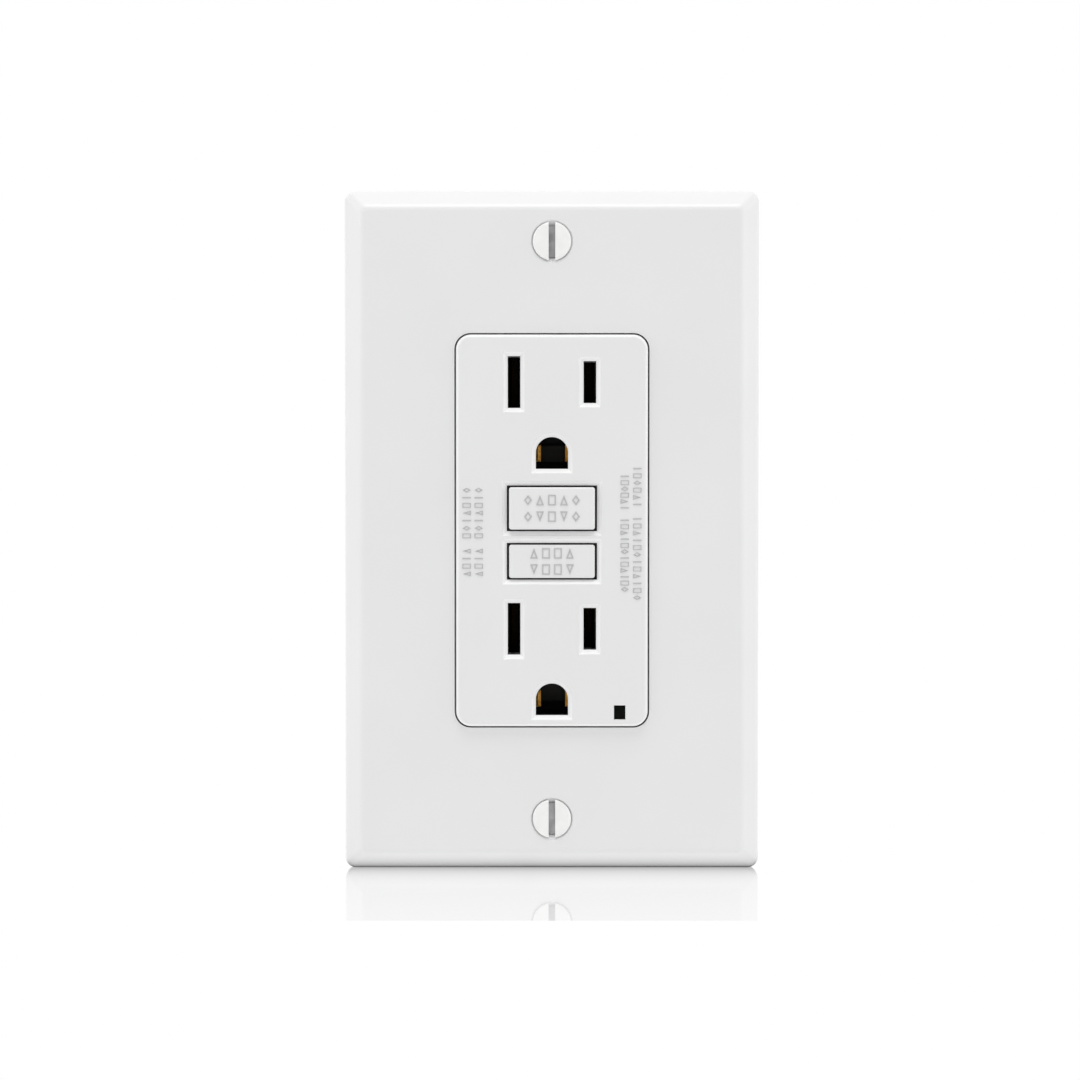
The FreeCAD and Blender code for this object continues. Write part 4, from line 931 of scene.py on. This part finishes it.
def make_floor():
    """A pale floor: plain white to the camera, with a faint mirror image close to the plate."""
    level = cad_low.z
    mesh = bpy.data.meshes.new("floor")
    signs = ((-1, -1), (1, -1), (1, 1), (-1, 1))
    corners = [(x * FLOOR_REACH, y * FLOOR_REACH, level) for x, y in signs]
    mesh.from_pydata(corners, [], [(0, 1, 2, 3)])
    floor = bpy.data.objects.new("floor", mesh)
    SCENE.collection.objects.link(floor)
    material = bpy.data.materials.new("floor_white")
    mesh.materials.append(material)
    floor_nodes = Network(material)
    floor_nodes.nodes.clear()
    x, y, _ = floor_nodes.axes("Object")
    beside = floor_nodes.maths("SUBTRACT", floor_nodes.maths("ABSOLUTE", x), cad_high.x)
    before = floor_nodes.maths("SUBTRACT", floor_nodes.maths("ABSOLUTE", y), UNLIT_DEPTH)
    away = floor_nodes.maths("MAXIMUM", beside, before)
    lit = floor_nodes.span(away, 0.0, FLOOR_LIGHT, 0.0, UNLIT_FADE)
    share = floor_nodes.span(y, MIRROR_FAR, MIRROR_NEAR, MIRROR_END, MIRROR_START)
    from_middle = floor_nodes.maths("ABSOLUTE", floor_nodes.maths("SUBTRACT", y, MIRROR_END / 2))
    near = floor_nodes.maths("LESS_THAN", from_middle, -MIRROR_END / 2)
    below = floor_nodes.maths("LESS_THAN", floor_nodes.maths("ABSOLUTE", x), MIRROR_HALF)
    mirrored = floor_nodes.maths("MULTIPLY", share, floor_nodes.maths("MULTIPLY", near, below))
    white = floor_nodes.add("Emission", ((1, 1, 1, 1), 1.0)).outputs["Emission"]
    mirror = floor_nodes.add("BsdfGlossy", ((1, 1, 1, 1), MIRROR_ROUGHNESS)).outputs["BSDF"]
    seen = floor_nodes.add("MixShader", (mirrored, white, mirror)).outputs["Shader"]
    glow = floor_nodes.add("Emission", ((1, 1, 1, 1), lit)).outputs["Emission"]
    path = floor_nodes.add("LightPath")
    shown = floor_nodes.add("MixShader", (path.outputs["Is Camera Ray"], glow, seen)).outputs["Shader"]
    floor_nodes.add("OutputMaterial", (shown,))


def make_world():
    """A light tent, bright at the sides and brightest overhead, before a plain white backdrop."""
    world = bpy.data.worlds.new("studio")
    SCENE.world = world
    sky = Network(world)
    x, y, z = sky.axes("Generated")
    sideways = sky.maths("POWER", sky.maths("ABSOLUTE", x), SIDE_SHARPNESS)
    sides = sky.maths("MULTIPLY", sideways, SIDE_LIGHT)
    upwards = sky.maths("POWER", sky.maths("MAXIMUM", z, 0.0), TOP_SHARPNESS)
    overhead = sky.maths("MULTIPLY", upwards, TOP_LIGHT)
    ahead = sky.maths("MAXIMUM", sky.maths("MULTIPLY", y, -CORNER_LIGHT), 0.0)
    corners = sky.maths("MULTIPLY", sky.maths("MULTIPLY", x, x), ahead)
    tent = sky.maths("ADD", sky.maths("ADD", sides, overhead), sky.maths("ADD", corners, FRONT_LIGHT))
    path = sky.add("LightPath")
    plain = sky.maths("MAXIMUM", path.outputs["Is Camera Ray"], sky.maths("GREATER_THAN", y, 0.0))
    strength = sky.span(plain, tent, 1.0)
    sky.feed(sky.nodes["Background"].inputs["Color"], (1, 1, 1, 1))
    sky.feed(sky.nodes["Background"].inputs["Strength"], strength)


def make_softbox():
    """One wide softbox above and before the plate, aimed at its middle."""
    light = bpy.data.lights.new("top_softbox", "AREA")
    light.shape = "RECTANGLE"
    light.size, light.size_y = SOFTBOX_SIZE
    light.energy = SOFTBOX_POWER
    lamp = bpy.data.objects.new("top_softbox", light)
    SCENE.collection.objects.link(lamp)
    lamp.location = SOFTBOX_PLACE
    lamp.rotation_euler = (-Vector(SOFTBOX_PLACE)).to_track_quat("-Z", "Y").to_euler()


def make_camera():
    """A straight view of the front, from a little above the middle."""
    camera_data = bpy.data.cameras.new("camera")
    camera = bpy.data.objects.new("camera", camera_data)
    SCENE.collection.objects.link(camera)
    SCENE.camera = camera
    camera_data.sensor_width = FILM_WIDTH
    camera_data.lens = LENS
    camera_data.clip_start, camera_data.clip_end = CLIP_NEAR, CLIP_FAR
    camera.location = CAMERA_PLACE
    aim = Vector(CAMERA_AIM) - Vector(CAMERA_PLACE)
    camera.rotation_euler = aim.to_track_quat("-Z", "Y").to_euler()


dress_cad_nodes()
face_legend()
key_legend("reset_button", ["diamond", "triangle", "square", "triangle", "diamond"], 2.75 * MM)
key_legend("test_button", ["triangle", "square", "square", "triangle"], 2.7 * MM)
make_screws()
make_springs()
solenoid_winding()
ring_windings()
make_board_parts()
make_floor()
make_world()
make_softbox()
make_camera()
SCENE.view_settings.view_transform = "Standard"
